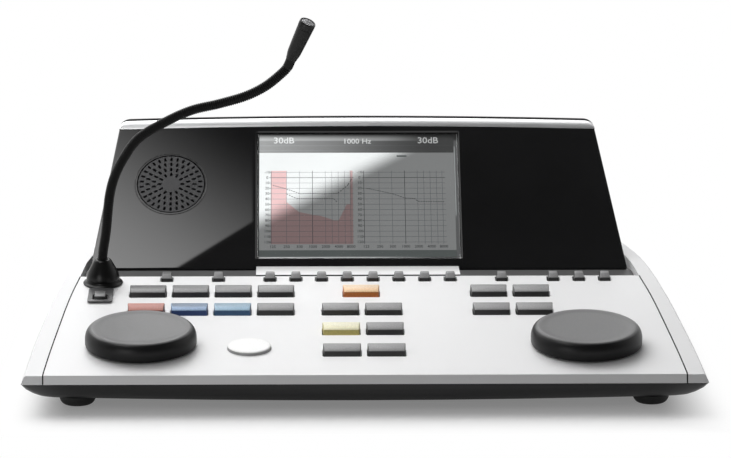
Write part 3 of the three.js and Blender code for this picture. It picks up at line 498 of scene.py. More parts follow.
def moulded(name, colour, roughness, grain, depth, mottle, metallic=0.0, strength=0.4,
            specular=0.5):
    """Moulded or painted surface: broad mottling, uneven gloss and a fine grain."""
    material, tree, shader = new_material(name)
    vector = object_coordinates(tree)
    broad = noise(tree, vector, BROAD_SCALE)
    fine = noise(tree, vector, grain, 2.0)
    low = [channel * (1 - mottle) for channel in colour]
    high = [min(1, channel * (1 + mottle)) for channel in colour]
    feed_all(shader, {
        "Base Color": ramp(tree, fine, low, high),
        "Roughness": uneven(tree, broad, roughness),
        "Normal": bump(tree, fine, depth, strength),
        "Metallic": metallic,
        "Specular IOR Level": specular,
    })
    return material


def painted_light_by_facing(name, side, top, flat, grain=1500, depth=0.00005, roughness=0.42, specular=0.5,
           steps=(0.35, 0.60, FLAT_START, FLAT_END)):
    """Moulding coloured by how far a face looks up, as painted light and shade: its sides, its
    slopes and its flat top.
    """
    material, tree, shader = new_material(name)
    vector = object_coordinates(tree)
    facing = split(tree, add_node(tree, "ShaderNodeNewGeometry").outputs["Normal"])
    colours = add_node(tree, "ShaderNodeValToRGB", Fac=facing["Z"])
    elements = colours.color_ramp.elements
    elements[0].position, elements[1].position = steps[0], steps[3]
    elements[0].color, elements[1].color = (*side, 1), (*flat, 1)
    for step in steps[1:3]:
        elements.new(step).color = (*top, 1)
    fine = noise(tree, vector, grain)
    feed_all(shader, {
        "Base Color": scaled(tree, colours.outputs["Color"], spread(tree, fine, 0.65, 1.35)),
        "Roughness": uneven(tree, noise(tree, vector, BROAD_SCALE), roughness),
        "Normal": bump(tree, fine, depth, 0.4),
        "Specular IOR Level": specular,
    })
    return material


def key_finish_painted_light(name, colour, share, white=0.0, painted_shade_to_left=0.75):
    """A key cap with painted light and shade: deep sides as painted shade, a pale slope, and a
    flat top of its own share of the colour with white added as painted sheen, darkened to the
    left as painted shade.
    """
    flat = [min(1, share * channel + white) for channel in colour]
    material = painted_light_by_facing(name, [0.5 * channel ** 3 for channel in colour], colour, flat)
    tree = material.node_tree
    colours = tree.nodes["Color Ramp"].outputs["Color"]
    target = colours.links[0].to_socket
    facing = tree.nodes["Separate XYZ"].outputs["Z"]
    level = spread(tree, facing, 0.0, 1.0, FLAT_START, FLAT_END)
    # Painted shade over the flat tops of the keys on the left.
    left = across(tree, console_frame(), (-1, 0), 0.060, 0.130)
    dark = multiplied(tree, [level, left], painted_shade_to_left)
    feed(target, scaled(tree, colours, combine(tree, "SUBTRACT", 1.0, dark)))
    return material


def brushed(name, colour, roughness, along):
    """Polished metal with fine lines drawn along one axis."""
    material, tree, shader = new_material(name)
    scale = [1800.0, 1800.0, 1800.0]
    scale["XYZ".index(along)] = 9.0
    lines = noise(tree, object_coordinates(tree, scale), 1.0, 4.0)
    low = [channel * 0.86 for channel in colour]
    feed_all(shader, {
        "Base Color": ramp(tree, lines, low, colour),
        "Roughness": uneven(tree, lines, roughness, 0.8, 1.25),
        "Normal": bump(tree, lines, 0.000012, 0.25),
        "Metallic": 1.0,
    })
    return material


def glossy_black(name, colour, roughness):
    """Lacquered black with faint polishing marks in its gloss."""
    material, tree, shader = new_material(name)
    smudge = noise(tree, object_coordinates(tree), 24, 5.0)
    low, high = ([channel * share for channel in colour] for share in (0.8, 1.3))
    feed_all(shader, {
        "Base Color": ramp(tree, smudge, low, high),
        "Roughness": uneven(tree, smudge, roughness, 0.6, 1.5),
    })
    return material


def lit(name, colour, strength=None):
    """A part of the lit picture, with the faint unevenness of its backlight."""
    material, tree, shader = new_material(name)
    glow = noise(tree, object_coordinates(tree), 30, 1.0)
    low = [channel * 0.95 for channel in colour]
    feed_all(shader, {
        "Emission Color": ramp(tree, glow, low, colour),
        "Emission Strength": strength(tree) if strength else 1.0,
        "Base Color": grey(0.01),
        "Specular IOR Level": 0.0,
        "Roughness": 0.6,
    })
    return material


def clear_pane(name):
    material, tree, shader = new_material(name)
    smudge = noise(tree, object_coordinates(tree), 60, 4.0)
    feed_all(shader, {
        "Roughness": spread(tree, smudge, 0.0, 0.03),
        "Base Color": (0.96, 0.98, 0.98, 1),
        "Transmission Weight": 1.0,
        "IOR": 1.7,
    })
    return material


def painted_shade_to_rear(material, start, end, low):
    """Paints shade on a finish towards the rear of the console, from its full colour to low."""
    tree = material.node_tree
    colour = tree.nodes["Principled BSDF"].inputs["Base Color"]
    share = spread(tree, across(tree, console_frame(), (0, -1), start, end), low, 1.0)
    feed(colour, scaled(tree, colour.links[0].from_socket, share))
    return material


def page_painted_glare(tree):
    """Painted glare on the page: full brightness in its upper left, low in the rest."""
    return spread(tree, across_lid(tree, (-0.504, 0.864), 0.0475, 0.0615), 0.235, 1.17)


def header_painted_glare(tree):
    """Painted glare on the header: its brightness falls off to the right, with a painted
    highlight band near its top.
    """
    base = spread(tree, across_lid(tree, (1, 0), -0.085, 0.045), 0.51, 0.05)
    band = multiplied(tree, [across_lid(tree, (0, 1), 0.0848, 0.0856),
                             across_lid(tree, (-1, 0), -0.043, -0.012)], 0.19)
    total = combine(tree, "ADD", base, band)
    return multiplied(tree, [total, across_lid(tree, (0, -1), -0.0903, -0.0858)])


def digit_painted_glare(tree):
    """Painted glare on the large figures: their brightness falls off to the right."""
    return spread(tree, across_lid(tree, (1, 0), -0.030, 0.035), 1.0, 0.50)


def edge_painted_glare(tree):
    """Painted glare on the light line under the picture: its brightness falls off to the right.
    """
    return spread(tree, across_lid(tree, (1, 0), 0.0, 0.045), 0.42, 0.06)


# Mouldings: name, colour, roughness, scale of the grain, its depth, mottling, and what differs

MOULDINGS = {
    "shell": ("silver_lacquer", (0.84, 0.84, 0.845), 0.42, 3200, 0.00002, 0.02, 0.0, 0.2),
    # The cheeks share the shell's lacquer; their darker tone is painted shade.
    "cheek": ("silver_cheek", (0.79, 0.79, 0.795), 0.42, 3200, 0.00002, 0.02, 0.0, 0.2),
    "hull": ("satin_black_hull", (0.012, 0.012, 0.0125), 0.5, 1800, 0.00005, 0.2),
    "cover": ("textured_black_cover", (0.016, 0.016, 0.017), 0.52, 1500, 0.00008, 0.2),
    # The deck is silver; its dark grey is painted shade.
    "deck": ("dark_silver_deck", (0.075, 0.075, 0.077), 0.34, 3000, 0.00002, 0.03),
    "strip": ("pale_key_strip", (1.0, 1.0, 1.0), 0.30, 2600, 0.00001, 0.02, 0.0, 0.4, 0.2),
    "plate": ("grey_talk_plate", (0.08, 0.08, 0.082), 0.28, 2600, 0.00002, 0.1),
    # Black for seams: painted shade in the gaps beside the key panel and along its rear edge;
    # also the rear lip of the lid's trim and the pane's blackened rims.
    "seam": ("seam_black", (0.006, 0.006, 0.006), 0.7, 1400, 0.00003, 0.2, 0.0, 0.4, 0.1),
    "rubber": ("black_rubber", (0.010, 0.010, 0.010), 0.72, 1400, 0.00008, 0.25),
    "boot": ("boot_rubber", (0.006, 0.006, 0.006), 0.28, 1800, 0.00003, 0.2, 0.0, 0.4, 0.25),
    "neck": ("neck_winding", (0.014, 0.014, 0.014), 0.35, 3000, 0.00002, 0.3, 0.0, 0.4, 0.12),
    "microphone": ("microphone_black", (0.011, 0.011, 0.011), 0.36, 2600, 0.00003, 0.2,
                   0.0, 0.4, 0.25),
    "gauze": ("microphone_gauze", (0.42, 0.42, 0.43), 0.4, 3000, 0.00003, 0.3, 0.8),
    "grille": ("grille_face", (0.060, 0.060, 0.063), 0.42, 2200, 0.00004, 0.2),
    "driver": ("speaker_cone", (0.008, 0.008, 0.008), 0.7, 900, 0.0001, 0.3),
    "board": ("green_board", (0.012, 0.13, 0.055), 0.45, 700, 0.00003, 0.25),
    "frame": ("display_frame", (0.008, 0.008, 0.008), 0.6, 1500, 0.00003, 0.2),
}

# Caps: name, colours of the sides, slopes and flat top, grain, depth, roughness, gloss, steps.
# The dial's grey slopes and top are painted sheen, and the button's grey side is painted shade.

CAPS_PAINTED_LIGHT = {
    "dial": ("soft_black_dial", (0.009, 0.009, 0.0095), (0.12, 0.12, 0.122),
             (0.17, 0.17, 0.172), 2600, 0.00003, 0.36, 0.2, (0.70, 0.93, 0.96, 0.985)),
    "button": ("white_button", (0.35, 0.35, 0.35), (0.90, 0.90, 0.89),
               (0.94, 0.94, 0.93), 2600, 0.00001, 0.34, 0.5, (0.30, 0.62, 0.80, 0.95)),
}

# Keys, all painted light: share of the colour that the flat top keeps as painted shade, white
# added to it as painted sheen, painted shade to the left

KEY_TOP_PAINTED_LIGHT = {
    "charcoal": (0.90,),
    "red": (0.95, 0.0, 0.0),
    "blue": (0.70,),
    "light_blue": (0.68,),
    "orange": (0.70, 0.18),
    "yellow": (0.70, 0.16),
}

# Parts of the lit picture: colour, and painted glare where its brightness isn't even

LIT_PARTS = {
    "page": ((0.97, 0.98, 0.98), page_painted_glare),
    "fill": ((0.93, 0.62, 0.62), page_painted_glare),
    "grid": ((0.36, 0.37, 0.39), page_painted_glare),
    "axis": ((0.16, 0.16, 0.17), page_painted_glare),
    "curve": ((0.05, 0.05, 0.06), page_painted_glare),
    "header": ((1.0, 1.0, 1.0), header_painted_glare),
    "header_line": ((1.25, 1.25, 1.27), header_painted_glare),
    "edge": ((1.0, 1.0, 1.0), edge_painted_glare),
    "footer": ((0.084, 0.094, 0.092),),
    # Painted light beyond the picture's right edge: the lit side wall of the window, and a
    # highlight along it.
    "side": ((0.11, 0.11, 0.112),),
    "side_line": ((0.36, 0.37, 0.37),),
    "digits": ((1.0, 1.0, 1.0), digit_painted_glare),
}


def make_finishes():
    for key, values in MOULDINGS.items():
        FINISHES[key] = moulded(*values)
    for key, values in CAPS_PAINTED_LIGHT.items():
        FINISHES[key] = painted_light_by_facing(*values)
    for key, values in KEY_TOP_PAINTED_LIGHT.items():
        FINISHES[key] = key_finish_painted_light(f"{key}_key", getattr(settings().keys, key), *values)
    for key, values in LIT_PARTS.items():
        FINISHES[key] = lit(f"display_{key}", *values)
    # Painted shade towards the rear of the trough and of the key strip.
    painted_shade_to_rear(FINISHES["deck"], -0.1780, -0.1655, 0.20)
    painted_shade_to_rear(FINISHES["strip"], -0.1830, -0.1630, 0.60)
    FINISHES["gloss"] = glossy_black("piano_black_lid", (0.010, 0.010, 0.0105), 0.015)
    FINISHES["trim"] = brushed("satin_silver_trim", (0.80, 0.80, 0.81), 0.34, "X")
    FINISHES["steel"] = brushed("hinge_steel", (0.60, 0.61, 0.62), 0.3, "X")
    FINISHES["pane"] = clear_pane("display_pane")


# Operators

class AudiometerOperator:
    bl_options = {"REGISTER", "UNDO"}


class AUDIOMETER_OT_studio(AudiometerOperator, Operator):
    """Make the camera, the floor, the lights and the pale surroundings"""
    bl_idname = "audiometer.studio"
    bl_label = "Studio"

    camera_place = (-0.037586, -1.95385, 0.43623)
    # The lit ground near the object turns white past these distances on each side
    white_edges = (((0, -1, 0), 0.172, 0.198), ((0, 1, 0), 0.24, 0.34),
                   ((-1, 0, 0), 0.155, 0.202), ((1, 0, 0), 0.155, 0.200))
    floor_seen, floor_lift, floor_bounce = 0.85, 0.20, 0.36
    thin_pieces = ("lid_", "pane", "picture_", "grille", "friction", "cap_")

    def execute(self, context):
        studio = settings().studio
        context.scene.view_settings.view_transform = "Standard"
        self.make_camera(context, studio)
        self.make_floor(context)
        self.make_world(context, studio)
        self.make_lights(context, studio)
        self.make_card(context)
        return {"FINISHED"}

    def make_camera(self, context, studio):
        data = bpy.data.cameras.new("Camera")
        data.lens = studio.lens
        data.sensor_width = 36
        data.sensor_fit = "HORIZONTAL"
        data.clip_start, data.clip_end = 0.05, 50
        forward = Vector((
            sin(studio.yaw) * cos(studio.pitch),
            cos(studio.yaw) * cos(studio.pitch),
            -sin(studio.pitch)))
        right = Vector((cos(studio.yaw), -sin(studio.yaw), 0))
        down = forward.cross(right)
        rolled_right = cos(studio.roll) * right + sin(studio.roll) * down
        rolled_down = -sin(studio.roll) * right + cos(studio.roll) * down
        rotation = Matrix((rolled_right, -rolled_down, -forward)).transposed()
        camera = bpy.data.objects.new("Camera", data)
        camera.matrix_world = Matrix.Translation(self.camera_place) @ rotation.to_4x4()
        context.scene.collection.objects.link(camera)
        context.scene.camera = camera

    def make_floor(self, context):
        material, tree, output = bare_material("studio_floor")
        place = object_position(tree)
        white_share = 0.0
        for direction, start, end in self.white_edges:
            step = soft_step(tree, place, direction, start, end)
            white_share = combine(tree, "MAXIMUM", white_share, step)
        near = add_node(
            tree, "ShaderNodeAddShader", diffuse(tree, self.floor_seen),
            emission(tree, self.floor_lift)).outputs["Shader"]
        ground = add_node(
            tree, "ShaderNodeMixShader", white_share, near, emission(tree, 1.0)).outputs["Shader"]
        mix = add_node(
            tree, "ShaderNodeMixShader", seen_directly(tree), diffuse(tree, self.floor_bounce),
            ground).outputs["Shader"]
        feed(output.inputs["Surface"], mix)
        bm = bmesh.new()
        bmesh.ops.create_grid(bm, x_segments=1, y_segments=1, size=6)
        stage_object(context, "studio_floor", bm, material)

    def make_world(self, context, studio):
        """White to the camera, even light to the object, and darker overhead and in front
        where the object mirrors it."""
        world = bpy.data.worlds.new("studio_world")
        world.use_nodes = True
        tree = world.node_tree
        path = add_node(tree, "ShaderNodeLightPath").outputs
        parts = split(tree, add_node(tree, "ShaderNodeTexCoord").outputs["Generated"])
        overhead = spread(tree, parts["Z"], 1.0, 0.26, 0.60, 0.90)
        behind = spread(tree, parts["Y"], 0.12, 1.0, -0.5, 0.3)
        mirrored = multiplied(tree, [overhead, behind])
        either = combine(tree, "MAXIMUM", path["Is Glossy Ray"], path["Is Transmission Ray"])
        glossy = add_node(tree, "ShaderNodeMix", Factor=either, A=studio.sky, B=mirrored)
        direct = combine(tree, "MAXIMUM", path["Is Camera Ray"], glossy.outputs["Result"])
        feed_all(tree.nodes["Background"], {"Color": grey(1), "Strength": direct})
        context.scene.world = world

    def make_lights(self, context, studio):
        top = add_area_light(
            context, "overhead_softbox", (-0.4, 0.70, 1.15), (0, 0.1, 0), 1.6, 1.1,
            studio.top_light)
        rear = add_area_light(
            context, "rear_softbox", (-0.55, 1.0, 1.0), (0, -0.05, 0.05), 1.3, 0.9,
            studio.rear_light)
        fill = add_area_light(
            context, "front_fill", (-0.45, -0.7, 0.10), (0, 0, 0.03), 0.3, 0.3,
            studio.fill_light)
        rear.visible_glossy = False
        rear.light_linking.blocker_collection = self.spared(
            context, "pieces_without_rear_shadow", self.thin_pieces)
        top.light_linking.blocker_collection = self.spared(
            context, "keys_without_top_shadow", ("cap_",))
        fill.light_linking.receiver_collection = self.spared(
            context, "floor_without_fill", ("studio_floor",))

    def spared(self, context, name, starts):
        """A collection that spares the objects with some names from a light."""
        collection = bpy.data.collections.new(name)
        for item in context.scene.objects:
            if item.name.startswith(starts):
                collection.objects.link(item)
        for item in collection.collection_objects:
            item.light_linking.link_state = "EXCLUDE"
        return collection

    def make_card(self, context):
        """A card overhead, which only the glossy pieces mirror."""
        material, tree, output = bare_material("reflector_card")
        feed(output.inputs["Surface"], emission(tree, card_pattern(tree)))
        bm = bmesh.new()
        bmesh.ops.create_grid(bm, x_segments=1, y_segments=1, size=0.8)
        bmesh.ops.rotate(
            bm, verts=bm.verts, cent=(0, 0, 0), matrix=Matrix.Rotation(pi, 3, "X"))
        bmesh.ops.translate(bm, verts=bm.verts, vec=(0, -0.4, 1.2))
        card = stage_object(context, "reflector_card", bm, material)
        card.visible_camera = False
        card.visible_diffuse = False
        card.visible_shadow = False


def card_pattern(tree):
    """A soft patch at the left of the overhead card, as the lid mirrors it."""
    place = object_position(tree)
    wide = multiplied(tree, [
        soft_step(tree, place, (-1, 0, 0), 0.0745, 0.0775),
        soft_step(tree, place, (-0.533, 0.846, 0), -0.1735, -0.1705),
        soft_step(tree, place, (-0.58, -0.81, 0), 0.180, 0.390),
    ], 5.6)
    return combine(tree, "ADD", wide, 0.08)


def stage_object(context, name, bm, material):
    mesh = bpy.data.meshes.new(name)
    bm.to_mesh(mesh)
    bm.free()
    mesh.materials.append(material)
    made = bpy.data.objects.new(name, mesh)
    context.scene.collection.objects.link(made)
    return made


def add_area_light(context, name, place, target, width, depth, power):
    data = bpy.data.lights.new(name, "AREA")
    data.shape = "RECTANGLE"
    data.size, data.size_y = width, depth
    data.energy = power
    light = bpy.data.objects.new(name, data)
    light.location = place
    light.rotation_mode = "QUATERNION"
    light.rotation_quaternion = (Vector(target) - Vector(place)).to_track_quat("-Z", "Y")
    light.visible_camera = False
    context.scene.collection.objects.link(light)
    return light

class AUDIOMETER_OT_body(AudiometerOperator, Operator):
    """Make the hull, the cheeks and the feet"""
    bl_idname = "audiometer.body"
    bl_label = "Body and feet"

    def execute(self, context):
        edge = settings().console.edge_radius
        refined_node("hull", "bottom_shell", "hull", "base", edge)
        for side in ("left", "right"):
            refined_node(
                f"cheek_{side}", f"{side}_cheek", "cheek", "base", edge)
        for place in ("front_left", "front_right", "rear_left", "rear_right"):
            self.make_foot(place)
        return {"FINISHED"}

    def make_foot(self, place):
        """A rubber foot, bowl-shaped, with a shallow hollow in its sole."""
        node = f"foot_{place}"
        low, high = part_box(node)
        radius = (high.x - low.x) / 2
        height = high.z - low.z
        sole_share, rim_share, hollow_share, hollow, arc_steps = 0.6, 0.94, 0.56, 0.0003, 8
        bowl = []
        for step in range(arc_steps + 1):
            angle = step / arc_steps * pi / 2
            bowl.append((radius * (sole_share + (1 - sole_share) * sin(angle)),
                         height * rim_share * (1 - cos(angle))))
        bm = bmesh.new()
        add_turned(bm, [
            (0, hollow), (radius * hollow_share, hollow), *bowl, (radius, height), (0, height),
        ], 48)
        centre = Matrix.Translation(((low.x + high.x) / 2, (low.y + high.y) / 2, low.z))
        finish_piece(
            f"rubber_{node}", bm, centre, "rubber", "base", 40, (node,))


class AUDIOMETER_OT_console(AudiometerOperator, Operator):
    """Make the key panel, the trough with its strip and the talk plate"""
    bl_idname = "audiometer.console"
    bl_label = "Console"

    strip_ends = (-0.0596, 0.0575)
    seam_half_width, seam_depth, seam_top = 0.00036, 0.0012, 0.00003
    seam_offset = 0.0002

    def execute(self, context):
        console = settings().console
        edge = console.edge_radius
        refined_node("key_panel", "console_panel", "shell", "base", edge)
        refined_node("trough", "rear_deck", "deck", "base", edge)
        refined_node("talk_plate", "talk_key_plate", "plate", "base", edge)
        bm = bmesh.new()
        floor = -console.trough_drop
        outline = [(0.1602, floor), (0.1602, -0.0002), (0.1604, 0), (0.1830, -0.0028),
                   (0.1832, -0.0030), (0.1832, floor)]
        add_swept(bm, [[(x, y, z) for y, z in outline] for x in self.strip_ends])
        finish_piece("function_strip", bm, console_frame(), "strip", "base")
        # A black bar along the panel's rear edge: painted shadow of that edge over the trough.
        bm = bmesh.new()
        add_rectangle(bm, *self.strip_ends, 0.15805, 0.1601, -0.0022, 0.00010)
        finish_piece("panel_gasket", bm, console_frame(), "seam", "base")
        for side, sign in (("left", -1), ("right", 1)):
            self.make_seam(side, sign)
        return {"FINISHED"}

    def make_seam(self, side, sign):
        """A black strip in the gap between the key panel and a cheek, along the panel's edge:
        painted shade in the gap.
        """
        panel_side, fold_start, fold_foot, foot_back = 0.1595, 0.002, (-0.0016, -0.0044), 0.0015
        edge = {round(p.y, 4): p.x for p in console_points("console_panel")
                if p.x * sign > panel_side and abs(p.z) < 0.0002}
        path = [(edge[y] + sign * self.seam_offset, y, self.seam_top)
                for y in sorted(edge) if y > fold_start]
        x = path[0][0]
        path = [(x, *fold_foot), (x, 0, self.seam_top), *path]
        sections = []
        for x, y, z in path:
            back = foot_back if y < 0 else 0
            left, right = x - self.seam_half_width, x + self.seam_half_width
            bottom = z - self.seam_depth
            sections.append([(left, y, z), (right, y, z),
                             (right, y + back, bottom), (left, y + back, bottom)])
        bm = bmesh.new()
        add_swept(bm, sections)
        finish_piece(
            f"seam_{side}", bm, console_frame(), "seam", "base", 20)


class AUDIOMETER_OT_keys(AudiometerOperator, Operator):
    """Make every key cap, wedge-topped with softened edges"""
    bl_idname = "audiometer.keys"
    bl_label = "Keys"

    def execute(self, context):
        colours = {
            "key_left_lower_1": ("red", "key_red"),
            "key_left_lower_2": ("blue", "key_blue"),
            "key_left_lower_3": ("light_blue", "key_light_blue"),
            "key_orange": ("orange", "key_orange"),
            "key_middle_centre_1": ("yellow", "key_yellow"),
        }
        for node in frame["nodes"]:
            if "key" not in node or node == "talk_key_plate":
                continue
            finish, slot = colours.get(node, ("charcoal", "key_charcoal"))
            self.make_cap(node, finish, slot)
        return {"FINISHED"}

    def make_cap(self, node, finish, slot):
        """A cap in the CAD key's own size, wedge-topped, drafted and with softened edges."""
        keys = settings().keys
        skirt_top, big_key_width, sharp_edge = 0.0005, 0.015, 0.7
        points = console_points(node)
        above = [point for point in points if point.z > -0.0001]
        x0, x1 = min(p.x for p in above), max(p.x for p in above)
        y0, y1 = min(p.y for p in above), max(p.y for p in above)
        top = max(p.z for p in above)
        front = min(p.z for p in above if p.y < y0 + 0.0002 and p.z > skirt_top)
        crease = min(p.y for p in above if p.z > top - 0.00001)
        floor = min(p.z for p in points)
        bm = bmesh.new()
        side = [(y0, floor), (y1, floor), (y1, top), (crease, top), (y0, front)]
        profile = bm.faces.new([bm.verts.new((x0, y, z)) for y, z in side])
        extrude_faces(bm, [profile], (x1 - x0, 0, 0))
        middle = (x0 + x1) / 2
        for vert in bm.verts:
            if vert.co.z > skirt_top:
                lean = keys.draft * vert.co.z / top
                if x1 - x0 > big_key_width:
                    lean *= (y1 - vert.co.y) / (y1 - y0)
                vert.co.x += lean if vert.co.x < middle else -lean
                vert.co.y += lean * 0.5 if vert.co.y < y0 + 0.0001 else 0
        bm.normal_update()
        edges = [edge for edge in bm.edges
                 if max(vert.co.z for vert in edge.verts) > skirt_top
                 and edge.calc_face_angle(0) > sharp_edge]
        bevel_edges(bm, edges, keys.edge_radius, 3)
        finish_piece(f"cap_{node}", bm, console_frame(), finish, node, 18, (node,))


class AUDIOMETER_OT_dials(AudiometerOperator, Operator):
    """Make the two dials and the round push-button"""
    bl_idname = "audiometer.dials"
    bl_label = "Dials and round button"

    dial_x, dial_y = 0.1207, 0.0457
    button_place = (-0.0621, 0.041, 0)

    def execute(self, context):
        dials = settings().dials
        for side, x in (("left", -self.dial_x), ("right", self.dial_x)):
            self.make_dial(dials, side, x)
        bm = bmesh.new()
        add_turned(bm, [
            (0, -0.0042), (0.0118, -0.0042), (0.0118, 0.0009), (0.01165, 0.0013),
            (0.0113, 0.00158), (0.0107, 0.0017), (0.0095, 0.00172), (0, 0.0014),
        ], 72, self.button_place)
        finish_piece("push_button", bm, console_frame(), "button",
                     "round_button", 40, ("round_button",))
        return {"FINISHED"}

    def make_dial(self, dials, side, x):
        radius, height = dials.radius, dials.height
        flat = radius - dials.shoulder_width
        arc_steps = 12
        profile = [(0, 0.0008), (radius - 0.0009, 0.0008), (radius - 0.0002, 0.0011),
                   (radius, 0.0018)]
        for step in range(arc_steps + 1):
            angle = step / arc_steps * pi / 2
            profile.append((
                flat + dials.shoulder_width * cos(angle),
                height - dials.shoulder_height * (1 - sin(angle))))
        profile += [
            (flat - 0.0010, height - 0.00002), (flat - 0.0020, height - 0.00012),
            (flat - 0.0034, height - 0.00030), (flat - 0.0055, height - 0.00040),
            (flat * 0.5, height - 0.00045), (0, height - 0.00045),
        ]
        bm = bmesh.new()
        add_turned(bm, profile, dials.sides, (x, self.dial_y, 0))
        finish_piece(f"dial_{side}", bm, console_frame(), "dial",
                     f"{side}_dial", 50, (f"{side}_dial",))


class AUDIOMETER_OT_lid(AudiometerOperator, Operator):
    """Make the glossy lid, its cover and the silver trim along the top"""
    bl_idname = "audiometer.lid"
    bl_label = "Display lid"

    low, high, middle = 0.09245, 0.1055, 0.002
    half_thickness, crown, corner = 0.007, 0.0021, 0.005
    side_start, side_slope, side_origin = 0.1558, 0.147, 0.00525
    brow_low, brow_back, brow_face = 0.0917, 0.0060, 0.00904

    def execute(self, context):
        edge = settings().lid.edge_radius
        refined_node("lid_face", "lid_front", "gloss", "lid", edge, 20)
        refined_node("lid_cover", "lid_back_cover", "cover", "lid", edge)
        silver = self.make_trim("lid_trim", 90, 50, 0.0, "trim", "trim_silver")
        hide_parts("lid_top_trim")
        self.make_trim("lid_trim_seam", 50, -90, 0.00012, "seam", "hull_black")
        bm = bmesh.new()
        add_swept(bm, [self.brow(x) for x in self.stations()])
        finish_piece("lid_brow", bm, lid_frame(), "gloss", "lid", 20)
        return {"FINISHED"}

    def side(self, y):
        """Half width of the lid at a height, as its sides lean in."""
        return self.side_start - self.side_slope * (y + self.side_origin)

    def lower(self, x):
        """Height of the seam between the black face and the trim, crowned like the top edge."""
        share = min(1, abs(x) / (self.side(self.low) - self.corner))
        return self.low + self.crown * (1 - share ** 2)

    def crest(self, x):
        """Height of the lid's crowned top edge at a distance from its middle."""
        shoulder = self.high - self.crown
        end = self.side(self.low)
        beyond = abs(x) - (end - self.corner)
        if beyond <= 0:
            return shoulder + self.crown * (1 - (x / (end - self.corner)) ** 2)
        share = min(1, beyond / self.corner)
        return shoulder - self.corner * (1 - (1 - share ** 2) ** 0.5)

    def stations(self):
        """Places along the lid's top, closer together at its rounded corners."""
        end = self.side(self.low)
        inner_steps, outer_steps = 12, 8
        inner = [end - self.corner - (end - self.corner) * step / inner_steps
                 for step in range(inner_steps)]
        outer = [end - self.corner * (1 - sin(step / outer_steps * pi / 2))
                 for step in range(outer_steps, 0, -1)]
        half = outer + inner
        return half + [0] + [-x for x in reversed(half)]

    def brow(self, x):
        """Section of the black bar that fills the face up to the crowned seam."""
        top = self.lower(x) - 0.0001
        narrow = x * (self.side(top) - 0.0002) / self.side(self.low)
        return [(narrow, self.brow_low, self.brow_back), (narrow, self.brow_low, self.brow_face),
                (narrow, top, self.brow_face), (narrow, top, self.brow_back)]

    def make_trim(self, name, first, last, proud, finish, slot):
        """The rounded bar along the top of the lid, between two angles of its section."""
        arc_steps = 20
        angles = [radians(first + (last - first) * step / arc_steps)
                  for step in range(arc_steps + 1)]
        bm = bmesh.new()
        add_swept(bm, [self.section(x, angles, proud) for x in self.stations()])
        return finish_piece(name, bm, lid_frame(), finish, "lid", 40)

    def section(self, x, angles, proud):
        lower = self.lower(x)
        reach = self.crest(x) - lower
        points = [(lower + (reach + proud) * cos(angle),
                   self.middle + (self.half_thickness + proud) * sin(angle)) for angle in angles]
        points.append((lower, points[-1][1] if angles[-1] > 0 else points[0][1]))
        return [(x * self.side(y) / self.side(self.low), y, z) for y, z in points]


